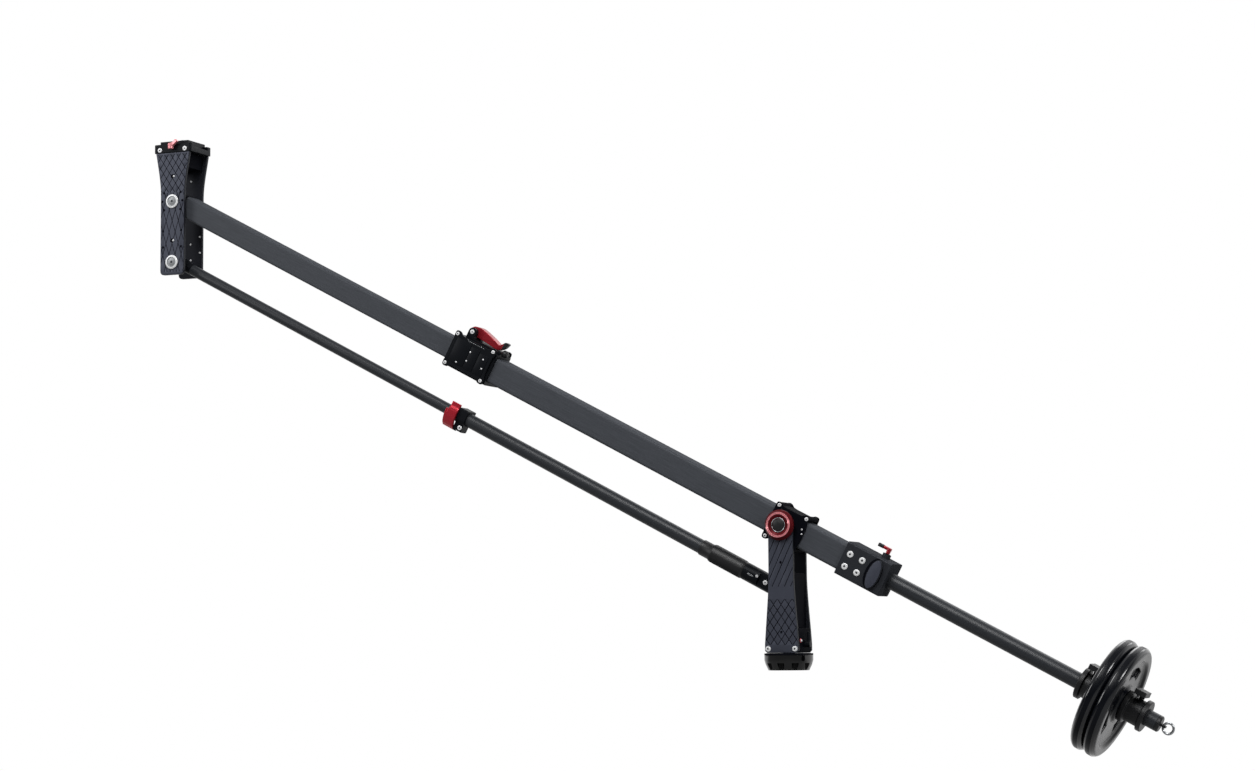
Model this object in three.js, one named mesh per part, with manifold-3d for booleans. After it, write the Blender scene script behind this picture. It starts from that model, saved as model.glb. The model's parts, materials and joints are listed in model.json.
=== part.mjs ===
// Camera jib crane with a telescopic parallelogram boom, in millimetres, +Z up.
// The origin is the centre of the face that rests on a tripod head.
// The boom lies in the XZ plane: the camera end points to -X, the counterweights to +X.

import * as THREE from 'three';
import { mergeVertices } from 'three/addons/utils/BufferGeometryUtils.js';
import Module from 'manifold-3d';

const wasm = await Module();
wasm.setup();

// Clearances and steps
const GAP = 0.3;                    // between pieces that touch on the real crane
const RUNNING_GAP = 0.3;            // round an axle in its bore
const OVERRUN = 2;                  // how far a cut runs past the face it opens
const MERGE_TOLERANCE = 1e-4;       // points closer than this are one point
const ARC_STEPS = 4;
const WHEEL_STEPS = 44;
const ROUND_STEPS = 24;
const SMALL_ROUND_STEPS = 14;
const HOLE_STEPS = 6;

// Whole crane
const PIVOT_HEIGHT = 200;           // tilt pivot above the tripod face
const BOOM_TILT_DEG = 27.75;        // head end up, at rest
const BOOM_LENGTH = 1121.5;         // tilt pivot to head pivot, drawn out
const PIVOT_SPACING = 94.5;         // boom pivot to link pivot, at both ends
const FRAME_WIDTH = 56.6;           // over the side plates of the column and the head
const PLATE_THICKNESS = 5.3;
const PLATE_OUT = FRAME_WIDTH / 2;
const PLATE_IN = PLATE_OUT - PLATE_THICKNESS;
const AXLE_RADIUS = 6;
const LINK_AXLE_RADIUS = 4;
const DIMPLE_RADIUS = 1.7;
const DIMPLE_DEPTH = 2.2;

// Base puck and pan bearing
const PUCK_RADIUS = 34;
const PUCK_HEIGHT = 22.5;
const PUCK_FOOT_RADIUS = 28.4;
const PUCK_SHOULDER_RADIUS = 32.3;
const PUCK_SHOULDER_HEIGHT = 8;
const PUCK_WALL_HEIGHT = 14;        // where the upright wall begins
const PUCK_EDGE = 1.5;
const PUCK_NOTCHES = 10;
const PUCK_NOTCH_RADIUS = 5;
const PUCK_NOTCH_CENTRE = 32.6;
const PUCK_NOTCH_HEIGHT = 10;
const BUSH_RADIUS = 11;
const BUSH_HEIGHT = 14.5;
const SOCKET_RADIUS = 4.8;          // for a 3/8 inch tripod screw
const SOCKET_CHAMFER = 0.8;
const SPINDLE_RADIUS = 8;
const SPINDLE_NUT_RADIUS = 13;
const SPINDLE_NUT_HEIGHT = 5;
const WASHER_THICKNESS = 1;
const WASHER_RADIUS = 31;

// Column
const FOOT_BOTTOM = PUCK_HEIGHT + GAP + WASHER_THICKNESS + GAP;
const FOOT_HEIGHT = 34;
const FOOT_TOP = FOOT_BOTTOM + FOOT_HEIGHT;
const FOOT_HALF_LENGTH = 23.8;
const FOOT_BORE_DEPTH = 9;
const COLUMN_BOTTOM_HALF = 24.5;
const COLUMN_TOP_HALF = 18;
const COLUMN_SKIRT_HEIGHT = 12;     // straight part of the plate above its lower edge
const COLUMN_WAIST_HEIGHT = 116;    // where the flare has run out, above the lower edge
const COLUMN_CORNER = 3;
const COLUMN_DIMPLE_DROP = 51.4;    // upper hole, below the tilt pivot
const FOOT_DIMPLE_RISE = 28.4;      // lower hole, above the foot's underside
const WEB_THICKNESS = 5;
const WEB_OFFSET = 12.5;            // front face of the web, behind the pivot line
const WEB_TOP_DROP = 66;            // below the tilt pivot
const LINK_AXLE_SEAT = 3;           // depth of the blind seats in the plates
const AXLE_HEAD_RADIUS = 10;
const AXLE_HEAD_LENGTH = 5;

// Pan lock lever
const PAN_LEVER_RADIUS = 2.6;
const PAN_LEVER_HUB_RADIUS = 4.5;
const PAN_LEVER_HUB_LENGTH = 8;
const PAN_LEVER_ARM = 17;
const PAN_LEVER_RISE = 11.9;        // above the foot's underside

// Tilt knob
const KNOB_BASE_RADIUS = 21.3;
const KNOB_BASE_LENGTH = 4;
const KNOB_FACE_RADIUS = 17.6;
const KNOB_LENGTH = 9.5;
const KNOB_RIM = 0.8;
const KNOB_RING_RADIUS = 14.2;      // inner edge of the flat ring on its face
const KNOB_RECESS_RADIUS = 11;
const KNOB_RECESS_DEPTH = 4;
const KNOB_CAP_HEIGHT = 2;

// Boom tubes, both square with rounded corners
const OUTER_TUBE = 38;
const OUTER_WALL = 2.4;
const OUTER_CORNER = 4.5;
const INNER_TUBE = 32.4;
const INNER_WALL = 2;
const INNER_CORNER = 3.6;
const OUTER_FRONT = -545;           // places along the boom, from the tilt pivot
const OUTER_REAR = 120;
const INNER_INSERT = 75;            // length of inner tube held inside, drawn out

// Tilt collar round the outer tube
const COLLAR_MIDDLE = 5.6;          // behind the tilt pivot
const CHEEK_THICKNESS = 2.1;
const CHEEK_HALF_LENGTH = 26.6;
const CHEEK_HALF_HEIGHT = 28;
const CHEEK_ROUNDING = 4;
const CHEEK_SHARES = [
  [-1, -0.62], [-1, -1], [-0.7, -1], [-0.58, -0.86], [0.58, -0.86], [0.7, -1], [1, -1],
  [1, -0.62], [1.07, -0.4], [1.07, 0.4], [1, 0.62], [1, 1], [0.7, 1], [0.58, 0.86],
  [-0.58, 0.86], [-0.7, 1], [-1, 1], [-1, 0.62],
];
const SADDLE_HEIGHT = 5;
const TIE_RADIUS = 4;               // cross ties between the ears of the two cheeks
const TIE_PLACE = 22.3;             // ahead of and behind the collar's middle
const TIE_RISE = 23.6;
const TILT_WASHER_RADIUS = 12;

// Lock bracket at the front end of the outer tube
const LOCK_LENGTH = 77;
const LOCK_SOCKET = 38;             // length of outer tube held in the bracket
const LOCK_HALF_HEIGHT = 24.3;
const LOCK_WALL = 3.4;
const LOCK_ROUNDING = 3;
const COVER_THICKNESS = 3;
const COVER_SHIFT = -0.5;           // its middle, ahead of the bracket's middle
const COVER_RISE = 2.5;             // its middle, above the boom's axis
const COVER_HALF_LENGTH = 37;
const COVER_HALF_HEIGHT = 28;
const COVER_ROUNDING = 3.5;
const COVER_SHARES = [
  [-1, -0.62], [-1, -1], [-0.75, -1], [-0.66, -0.84], [0.66, -0.84], [0.75, -1], [1, -1],
  [1, -0.62], [0.94, -0.5], [0.94, 0.5], [1, 0.62], [1, 1], [0.75, 1], [0.66, 0.84],
  [-0.66, 0.84], [-0.75, 1], [-1, 1], [-1, 0.62], [-0.94, 0.5], [-0.94, -0.5],
];
const LUG_OFFSET = -18;             // lever pin, along the boom from the bracket's middle
const LUG_RISE = 36.5;              // lever pin above the boom's axis
const LUG_RADIUS = 6.5;
const LUG_INSIDE = 8.5;
const LUG_OUTSIDE = 15.5;
const LEVER_PIN_RADIUS = 2.5;
const LEVER_HUB_RADIUS = 9;
const LEVER_HALF_WIDTH = 7.5;
const LEVER_ROUNDING = 2;
const LEVER_SHARES = [              // outline of the cam lever, from its pin
  [-0.06, -0.1], [-0.03, 0.178], [0.13, 0.2], [0.31, 0.168], [0.59, 0.098], [0.79, 0.03], [0.89, -0.01],
  [1.03, 0.15], [1.15, 0.144], [1.09, 0.01], [0.95, -0.126], [0.87, -0.156], [0.73, -0.146], [0.47, -0.122],
  [0.17, -0.1],
];
const LEVER_LENGTH = 50;
const PRESSURE_PAD_HEIGHT = 4;
const LOCK_KNOB_RADIUS = 5.6;
const LOCK_KNOB_LENGTH = 10;
const LOCK_KNOB_RISE = 29;
const LOCK_KNOB_SIDE = -12;

// Rear clamp block that holds the counterweight bar
const BLOCK_FRONT = 98;
const BLOCK_REAR = 168;
const BLOCK_HALF_HEIGHT = 24.3;
const BLOCK_HALF_WIDTH = 22.6;
const BLOCK_ROUNDING = 3;
const BOSS_PLACE = 151;
const BOSS_HALF_LENGTH = 9;
const BOSS_HALF_HEIGHT = 21.5;
const BOSS_HEIGHT = 4.5;
const STUD_PLACE = 148.5;
const STUD_RADIUS = 6;
const STUD_HEIGHT = 6;
const BAR_LEVER_STEM_RADIUS = 3.2;
const BAR_LEVER_STEM = 10;
const BAR_LEVER_ARM = 20;
const BAR_LEVER_THICKNESS = 4.4;

// Counterweight bar
const BAR_RADIUS = 11.3;
const BAR_WALL = 2;
const BAR_FRONT = 96;
const BAR_REAR = 579.5;
const END_CAP_LENGTH = 5;
const END_CAP_PLUG = 12;
const EYE_RADIUS = 2.2;
const EYE_LENGTH = 3;
const RING_RADIUS = 7.6;
const RING_WIRE = 1.3;
const RING_CENTRE = 595.5;

// Counterweights and their collars
const WEIGHT_RADIUS = 80;
const WEIGHT_THICKNESS = 18.5;
const WEIGHT_RIM = 15;
const WEIGHT_EDGE = 6;
const WEIGHT_DISH = 4;
const WEIGHT_HUB_RADIUS = 24;
const WEIGHT_BORE = 12.4;
const WEIGHT_SLOTS = 3;
const SLOT_INNER = 39;
const SLOT_OUTER = 52;
const SLOT_ARC = Math.PI / 3.4;
const SLOT_DEPTH = 5;
const WEIGHT_FRONT = 492.5;
const COLLAR_RADIUS = 22;
const COLLAR_LENGTH = 27;
const COLLAR_GROOVE = 4;
const COLLAR_FLANGE = 7;
const OUTER_COLLAR_LENGTH = 34;
const COLLAR_LEVER_RADIUS = 3.6;
const COLLAR_LEVER_STEM = 5.2;
const COLLAR_LEVER_LENGTH = 24;
const COLLAR_LEVER_HALF_WIDTH = 8;
const COLLAR_LEVER_THICKNESS = 7;

// Lower link, with places along it from its rear pivot
const REAR_LINK_RADIUS = 10.2;
const REAR_LINK_WALL = 1.6;
const FRONT_LINK_RADIUS = 8.3;
const FRONT_LINK_WALL = 1.2;
const REAR_LINK_FRONT = -570;
const REAR_LINK_REAR = -140;
const FRONT_LINK_REAR = -497;
const HANDLE_FRONT = -129;
const HANDLE_REAR = -71;
const HANDLE_RADIUS = 13.3;
const HANDLE_RIM = 2;
const HANDLE_NECK = 15;
const HANDLE_NECK_RADIUS = 11.4;
const CORE_RADIUS = 5;
const YOKE_RADIUS = 12.6;
const YOKE_EYE_RADIUS = 11;
const YOKE_HALF_WIDTH = 9;
const FERRULE_LENGTH = 12;
const CLAMP_FRONT = -575;
const CLAMP_REAR = -560;
const CLAMP_TOP = 13;
const CLAMP_BOTTOM = -21;
const CLAMP_HALF_WIDTH = 12.6;
const CLAMP_ROUNDING = 2.5;
const CLAMP_SHARES = [              // its section: round the tube above, narrower below
  [-0.7, -1], [0.7, -1], [0.7, -0.3], [1, -0.1], [1, 1], [-1, 1], [-1, -0.1], [-0.7, -0.3],
];
const CLAMP_NOSE_LENGTH = 16;
const CLAMP_NOSE_RADIUS = 10.6;
const CLAMP_LEVER_LENGTH = 15;
const CLAMP_LEVER_THICKNESS = 4.2;
const CLAMP_LEVER_STEP = 4;         // how much longer the lower part of the lever is
const CLAMP_LEVER_SHARES = [        // centre line round the tube, in units of the lever's radius
  [-0.25, -1.62], [-0.75, -1.2], [-1.08, -0.5], [-1.12, 0.3], [-0.92, 0.8], [-0.9, 1.25],
];
const CLAMP_LEVER_RADIUS = 13.2;
const LINK_EYE_RADIUS = 9.5;
const LINK_EYE_HALF_WIDTH = 8;
const LINK_EYE_SHANK = 22;

// Head, with heights from its upper pivot
const HEAD_HALF_WIDTH = 21;
const HEAD_TOP_HALF_WIDTH = 30;
const HEAD_BOTTOM = -114;
const HEAD_FLARE_FROM = 10;
const HEAD_PLATE_TOP = 76;
const HEAD_CORNER = 7;
const HEAD_DIMPLES = [              // small holes in each side plate
  [15, 13.5], [-15, 13.5], [18, 0.5], [-18, 0.5], [14.5, -13], [-14.5, -13],
  [16.3, -46], [-16.3, -46], [16.3, -71], [-16.3, -71], [1.5, 39], [1.5, -61],
];
const HEAD_BLOCK_BOTTOM = 53;
const HEAD_BLOCK_HALF = 22;
const CAP_RADIUS = 10.7;
const CAP_HEIGHT = 1.8;
const CAP_RECESS_RADIUS = 5;
const CAP_RECESS_DEPTH = 1.2;
const TIP_EYE_RADIUS = 14.5;
const TIP_PLUG_LENGTH = 34;
const PLATFORM_HALF_LENGTH = 33;
const PLATFORM_HALF_WIDTH = 29.2;
const PLATFORM_HEIGHT = 13.5;
const PLATFORM_ROUNDING = 3;
const CHANNEL_HALF_WIDTH = 20;
const CHANNEL_DEPTH = 5.5;
const CHANNEL_UNDERCUT = 2.5;
const QUICK_PLATE_HALF_LENGTH = 25;
const QUICK_PLATE_HEIGHT = 10;
const QUICK_PLATE_LIP = 4;
const CAMERA_SCREW_RADIUS = 3.1;
const CAMERA_SCREW_HEAD_RADIUS = 7;
const CAMERA_SCREW_HEAD_HEIGHT = 2.5;
const CAMERA_SCREW_RISE = 5;
const PLATE_LEVER_HUB_RADIUS = 4.5;
const PLATE_LEVER_HUB_HEIGHT = 9;
const PLATE_LEVER_LENGTH = 12;
const PLATE_LEVER_RISE = 15;
const PLATE_LEVER_THICKNESS = 5;
const PLATE_LEVER_SHARES = [[-0.2, 0.2], [0.1, 0.34], [0.55, 0.62], [0.9, 0.86]];

// Finishes
const finishes = {
  blackAnodised: { color: 0x2c2f36, metalness: 0.7, roughness: 0.45 },
  blackCast: { color: 0x17181b, metalness: 0.3, roughness: 0.35 },
  carbonTube: { color: 0x414347, metalness: 0.1, roughness: 0.4 },
  redAnodised: { color: 0xb02430, metalness: 0.8, roughness: 0.35 },
  brightSteel: { color: 0xcfd2d6, metalness: 1, roughness: 0.25 },
  blackPlastic: { color: 0x1b1c1f, metalness: 0, roughness: 0.5 },
  enamelledIron: { color: 0x1a1c20, metalness: 0.2, roughness: 0.35 },
  brass: { color: 0xb5964f, metalness: 1, roughness: 0.35 },
};

// Turns a closed geometry into a solid that can be joined and cut
function solid(geometry) {
  const bare = geometry.clone();
  bare.deleteAttribute('normal');
  bare.deleteAttribute('uv');
  const merged = mergeVertices(bare, MERGE_TOLERANCE);
  const corners = merged.index.array;
  const kept = [];
  for (let i = 0; i < corners.length; i += 3) {
    const [a, b, c] = [corners[i], corners[i + 1], corners[i + 2]];
    if (a !== b && b !== c && c !== a) {
      kept.push(a, b, c);
    }
  }
  const vertProperties = new Float32Array(merged.attributes.position.array);
  return new wasm.Manifold(new wasm.Mesh({ numProp: 3, vertProperties, triVerts: new Uint32Array(kept) }));
}

// Adds a solid to a group as a named mesh
function add(group, name, body, finish) {
  const { vertProperties, triVerts } = body.getMesh();
  const geometry = new THREE.BufferGeometry();
  geometry.setAttribute('position', new THREE.BufferAttribute(vertProperties, 3));
  geometry.setIndex(new THREE.BufferAttribute(triVerts, 1));
  geometry.computeVertexNormals();
  const mesh = new THREE.Mesh(geometry, new THREE.MeshStandardMaterial(finishes[finish]));
  mesh.name = name;
  group.add(mesh);
  return mesh;
}

function box([x0, x1], [y0, y1], [z0, z1]) {
  const geometry = new THREE.BoxGeometry(x1 - x0, y1 - y0, z1 - z0);
  geometry.translate((x0 + x1) / 2, (y0 + y1) / 2, (z0 + z1) / 2);
  return solid(geometry);
}

// Turns a geometry that is drawn along +Y so that it runs along another axis
function turned(geometry, axis, [x, y, z]) {
  if (axis === 'x') {
    geometry.rotateZ(-Math.PI / 2);
  }
  if (axis === 'z') {
    geometry.rotateX(Math.PI / 2);
  }
  geometry.translate(x, y, z);
  return geometry;
}

// A turned body: the profile lists [radius, place along the axis]
function lathe(axis, profile, steps = ROUND_STEPS, at = [0, 0, 0]) {
  const area = profile.reduce((sum, [r, h], i) => {
    const [nextR, nextH] = profile[(i + 1) % profile.length];
    return sum + r * nextH - nextR * h;
  }, 0);
  const ordered = area > 0 ? profile : [...profile].reverse();
  const points = ordered.map(([r, h]) => new THREE.Vector2(r, h));
  return solid(turned(new THREE.LatheGeometry(points, steps), axis, at));
}

function rod(axis, radius, [from, to], steps = ROUND_STEPS, at = [0, 0, 0]) {
  return lathe(axis, [[0, from], [radius, from], [radius, to], [0, to]], steps, at);
}

function sleeve(axis, inner, outer, [from, to], steps = ROUND_STEPS, at = [0, 0, 0]) {
  const profile = [[inner, from], [outer, from], [outer, to], [inner, to], [inner, from]];
  return lathe(axis, profile, steps, at);
}

// Stretches a flat outline along an axis. Drawn x and y become Y and Z for axis x, and X and Z for axis y.
function prism(axis, shape, [from, to], steps = ARC_STEPS) {
  const settings = { depth: to - from, bevelEnabled: false, curveSegments: steps };
  const geometry = new THREE.ExtrudeGeometry(shape, settings);
  const along = new THREE.Vector3(0, 0, 1);
  const basis = new THREE.Matrix4();
  if (axis === 'x') {
    basis.makeBasis(new THREE.Vector3(0, 1, 0), along, new THREE.Vector3(1, 0, 0));
    basis.setPosition(from, 0, 0);
  }
  if (axis === 'y') {
    basis.makeBasis(new THREE.Vector3(1, 0, 0), along, new THREE.Vector3(0, -1, 0));
    basis.setPosition(0, to, 0);
  }
  if (axis === 'z') {
    basis.setPosition(0, 0, from);
  }
  return solid(geometry.applyMatrix4(basis));
}

// An outline through the given corners, each rounded off
function outline(corners, rounding, Kind = THREE.Shape) {
  const shape = new Kind();
  corners.forEach(([x, y], i) => {
    const corner = new THREE.Vector2(x, y);
    const before = new THREE.Vector2(...corners[(i + corners.length - 1) % corners.length]);
    const after = new THREE.Vector2(...corners[(i + 1) % corners.length]);
    const cutIn = Math.min(rounding, corner.distanceTo(before) / 2.1);
    const cutOut = Math.min(rounding, corner.distanceTo(after) / 2.1);
    const start = corner.clone().add(before.sub(corner).setLength(cutIn));
    const end = corner.clone().add(after.sub(corner).setLength(cutOut));
    if (i === 0) {
      shape.moveTo(start.x, start.y);
    } else {
      shape.lineTo(start.x, start.y);
    }
    shape.quadraticCurveTo(x, y, end.x, end.y);
  });
  shape.closePath();
  return shape;
}

function roundedBox(halfWidth, halfHeight, rounding, Kind = THREE.Shape) {
  const corners = [
    [-halfWidth, -halfHeight], [halfWidth, -halfHeight], [halfWidth, halfHeight], [-halfWidth, halfHeight],
  ];
  return outline(corners, rounding, Kind);
}

function scaled(shares, width, height, [x, y] = [0, 0]) {
  return shares.map(([a, b]) => [x + a * width, y + b * height]);
}

// A strip of even thickness along a smooth line through the given points
function strip(points, thickness, steps) {
  const curve = new THREE.SplineCurve(points.map(([x, y]) => new THREE.Vector2(x, y)));
  const left = [];
  const right = [];
  for (let i = 0; i <= steps; i += 1) {
    const point = curve.getPoint(i / steps);
    const tangent = curve.getTangent(i / steps);
    const side = new THREE.Vector2(-tangent.y, tangent.x).multiplyScalar(thickness / 2);
    left.push(point.clone().add(side));
    right.unshift(point.clone().sub(side));
  }
  return new THREE.Shape([...left, ...right]);
}

function squareTube(size, wall, corner, [from, to]) {
  const shape = roundedBox(size / 2, size / 2, corner);
  shape.holes.push(roundedBox(size / 2 - wall, size / 2 - wall, corner - wall / 2, THREE.Path));
  return prism('x', shape, [from, to]);
}

function squareBar(size, corner, span) {
  return prism('x', roundedBox(size / 2, size / 2, corner), span);
}

// Blind holes in a side plate, drilled from its outer face
function dimpled(plate, places, side) {
  const span = [side * PLATE_OUT - DIMPLE_DEPTH, side * PLATE_OUT + DIMPLE_DEPTH];
  return places.reduce(
    (body, [x, z]) => body.subtract(rod('y', DIMPLE_RADIUS, span, HOLE_STEPS, [x, 0, z])),
    plate,
  );
}

// The span of a plate on one side: -1 is the near side, 1 the far side
function sideSpan(side, inside, outside) {
  return side < 0 ? [-outside, -inside] : [inside, outside];
}

const sides = [['near', -1], ['far', 1]];

const crane = new THREE.Group();
crane.name = 'camera_jib_crane';

// Base: the puck on the tripod, its threaded bush and the pan spindle
function makeBase() {
  const bushSeat = BUSH_RADIUS + GAP;
  const spindleSeat = SPINDLE_RADIUS + RUNNING_GAP;
  const seatTop = BUSH_HEIGHT + GAP;
  let puck = lathe('z', [
    [bushSeat, 0], [PUCK_FOOT_RADIUS, 0], [PUCK_SHOULDER_RADIUS, PUCK_SHOULDER_HEIGHT],
    [PUCK_RADIUS, PUCK_WALL_HEIGHT], [PUCK_RADIUS, PUCK_HEIGHT - PUCK_EDGE],
    [PUCK_RADIUS - PUCK_EDGE, PUCK_HEIGHT], [spindleSeat, PUCK_HEIGHT], [spindleSeat, seatTop],
    [bushSeat, seatTop], [bushSeat, 0],
  ], WHEEL_STEPS);
  for (let i = 0; i < PUCK_NOTCHES; i += 1) {
    const angle = (i + 0.5) * 2 * Math.PI / PUCK_NOTCHES;
    const at = [PUCK_NOTCH_CENTRE * Math.cos(angle), PUCK_NOTCH_CENTRE * Math.sin(angle), 0];
    puck = puck.subtract(rod('z', PUCK_NOTCH_RADIUS, [-OVERRUN, PUCK_NOTCH_HEIGHT], SMALL_ROUND_STEPS, at));
  }
  add(crane, 'base_puck', puck, 'blackCast');

  add(crane, 'tripod_bush', lathe('z', [
    [SOCKET_RADIUS + SOCKET_CHAMFER, 0], [BUSH_RADIUS, 0], [BUSH_RADIUS, BUSH_HEIGHT],
    [SOCKET_RADIUS, BUSH_HEIGHT], [SOCKET_RADIUS, SOCKET_CHAMFER],
    [SOCKET_RADIUS + SOCKET_CHAMFER, 0],
  ]), 'brass');

  const nutBottom = FOOT_TOP - FOOT_BORE_DEPTH + GAP;
  add(crane, 'pan_spindle', lathe('z', [
    [0, seatTop], [SPINDLE_RADIUS, seatTop], [SPINDLE_RADIUS, nutBottom],
    [SPINDLE_NUT_RADIUS, nutBottom], [SPINDLE_NUT_RADIUS, nutBottom + SPINDLE_NUT_HEIGHT],
    [0, nutBottom + SPINDLE_NUT_HEIGHT],
  ]), 'brightSteel');
}

function columnOutline() {
  const shape = new THREE.Shape();
  const low = FOOT_BOTTOM;
  const skirt = low + COLUMN_SKIRT_HEIGHT;
  const waist = low + COLUMN_WAIST_HEIGHT;
  const third = (waist - skirt) / 3;
  const slack = (COLUMN_BOTTOM_HALF - COLUMN_TOP_HALF) / 3;
  shape.moveTo(-COLUMN_BOTTOM_HALF + COLUMN_CORNER, low);
  shape.lineTo(COLUMN_BOTTOM_HALF - COLUMN_CORNER, low);
  shape.lineTo(COLUMN_BOTTOM_HALF, low + COLUMN_CORNER);
  shape.lineTo(COLUMN_BOTTOM_HALF, skirt);
  shape.bezierCurveTo(
    COLUMN_BOTTOM_HALF - slack, skirt + third, COLUMN_TOP_HALF, waist - third, COLUMN_TOP_HALF, waist,
  );
  shape.lineTo(COLUMN_TOP_HALF, PIVOT_HEIGHT);
  shape.absarc(0, PIVOT_HEIGHT, COLUMN_TOP_HALF, 0, Math.PI);
  shape.lineTo(-COLUMN_TOP_HALF, waist);
  shape.bezierCurveTo(
    -COLUMN_TOP_HALF, waist - third, slack - COLUMN_BOTTOM_HALF, skirt + third, -COLUMN_BOTTOM_HALF, skirt,
  );
  shape.lineTo(-COLUMN_BOTTOM_HALF, low + COLUMN_CORNER);
  shape.closePath();
  return shape;
}

// Column: the foot that pans on the puck, two side plates, the rear web and the axles
function makeColumn() {
  const width = [-PLATE_IN + GAP, PLATE_IN - GAP];
  const spindleSeat = SPINDLE_RADIUS + RUNNING_GAP;
  const washerBottom = PUCK_HEIGHT + GAP;
  const washer = sleeve('z', spindleSeat, WASHER_RADIUS, [washerBottom, washerBottom + WASHER_THICKNESS]);
  add(crane, 'pan_washer', washer, 'brass');

  const bore = FOOT_TOP - FOOT_BORE_DEPTH;
  const nutSeat = SPINDLE_NUT_RADIUS + 2 * RUNNING_GAP;
  const foot = box([-FOOT_HALF_LENGTH, FOOT_HALF_LENGTH], width, [FOOT_BOTTOM, FOOT_TOP])
    .subtract(rod('z', spindleSeat, [FOOT_BOTTOM - OVERRUN, FOOT_TOP]))
    .subtract(rod('z', nutSeat, [bore, FOOT_TOP + OVERRUN]));
  add(crane, 'column_foot', foot, 'blackCast');

  const linkHeight = PIVOT_HEIGHT - PIVOT_SPACING;
  const dimples = [[0, PIVOT_HEIGHT - COLUMN_DIMPLE_DROP], [0, FOOT_BOTTOM + FOOT_DIMPLE_RISE]];
  const seatSpan = PLATE_IN + LINK_AXLE_SEAT;
  for (const [word, side] of sides) {
    const bored = prism('y', columnOutline(), sideSpan(side, PLATE_IN, PLATE_OUT), 2 * ARC_STEPS)
      .subtract(rod('y', AXLE_RADIUS + GAP, [-PLATE_OUT - OVERRUN, PLATE_OUT + OVERRUN],
        SMALL_ROUND_STEPS, [0, 0, PIVOT_HEIGHT]))
      .subtract(rod('y', LINK_AXLE_RADIUS + GAP, [-seatSpan, seatSpan],
        SMALL_ROUND_STEPS, [0, 0, linkHeight]));
    add(crane, `column_plate_${word}`, dimpled(bored, dimples, side), 'blackAnodised');
  }

  const webTop = PIVOT_HEIGHT - WEB_TOP_DROP;
  const web = box([WEB_OFFSET, WEB_OFFSET + WEB_THICKNESS], width, [FOOT_TOP + GAP, webTop]);
  add(crane, 'column_web', web, 'blackAnodised');

  const headFrom = PLATE_OUT + GAP;
  const knobEnd = -PLATE_OUT - (KNOB_LENGTH - KNOB_RECESS_DEPTH);
  const axle = lathe('y', [
    [0, knobEnd], [AXLE_RADIUS, knobEnd], [AXLE_RADIUS, headFrom], [AXLE_HEAD_RADIUS, headFrom],
    [AXLE_HEAD_RADIUS, headFrom + AXLE_HEAD_LENGTH], [0, headFrom + AXLE_HEAD_LENGTH],
  ], SMALL_ROUND_STEPS, [0, 0, PIVOT_HEIGHT]);
  add(crane, 'tilt_axle', axle, 'brightSteel');

  const seatEnd = seatSpan - GAP;
  const linkAxle = rod('y', LINK_AXLE_RADIUS, [-seatEnd, seatEnd], SMALL_ROUND_STEPS, [0, 0, linkHeight]);
  add(crane, 'link_axle_rear', linkAxle, 'brightSteel');

  makePanLever();
}

// The small lever behind the column that locks the pan
function makePanLever() {
  const front = FOOT_HALF_LENGTH + GAP;
  const height = FOOT_BOTTOM + PAN_LEVER_RISE;
  const at = [0, 0, height];
  const hub = rod('x', PAN_LEVER_HUB_RADIUS, [front, front + PAN_LEVER_HUB_LENGTH], SMALL_ROUND_STEPS, at);
  const armMiddle = front + PAN_LEVER_HUB_LENGTH - PAN_LEVER_RADIUS;
  const arm = rod('z', PAN_LEVER_RADIUS, [0, PAN_LEVER_ARM], SMALL_ROUND_STEPS, [armMiddle, 0, height]);
  add(crane, 'pan_lock_lever', hub.add(arm), 'redAnodised');
}

// Tilt knob on the near end of the axle
function makeTiltKnob() {
  const base = -PLATE_OUT - GAP;
  const face = base - KNOB_LENGTH;
  const floor = face + KNOB_RECESS_DEPTH;
  const bore = AXLE_RADIUS + RUNNING_GAP;
  const at = [0, 0, PIVOT_HEIGHT];
  const knob = lathe('y', [
    [bore, base], [KNOB_BASE_RADIUS, base], [KNOB_BASE_RADIUS, base - KNOB_BASE_LENGTH],
    [KNOB_FACE_RADIUS, face + KNOB_RIM], [KNOB_FACE_RADIUS - KNOB_RIM, face], [KNOB_RING_RADIUS, face],
    [KNOB_RECESS_RADIUS, face + KNOB_RECESS_DEPTH / 2], [KNOB_RECESS_RADIUS, floor], [bore, floor],
    [bore, base],
  ], WHEEL_STEPS, at);
  add(crane, 'tilt_knob', knob, 'redAnodised');

  const capBack = floor - GAP;
  const cap = rod('y', KNOB_RECESS_RADIUS - GAP, [capBack - KNOB_CAP_HEIGHT, capBack], ROUND_STEPS, at);
  add(crane, 'tilt_knob_cap', cap, 'blackPlastic');
}

const boom = new THREE.Group();
boom.name = 'boom';
boom.position.set(0, 0, PIVOT_HEIGHT);
boom.rotation.y = THREE.MathUtils.degToRad(BOOM_TILT_DEG);
crane.add(boom);

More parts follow.
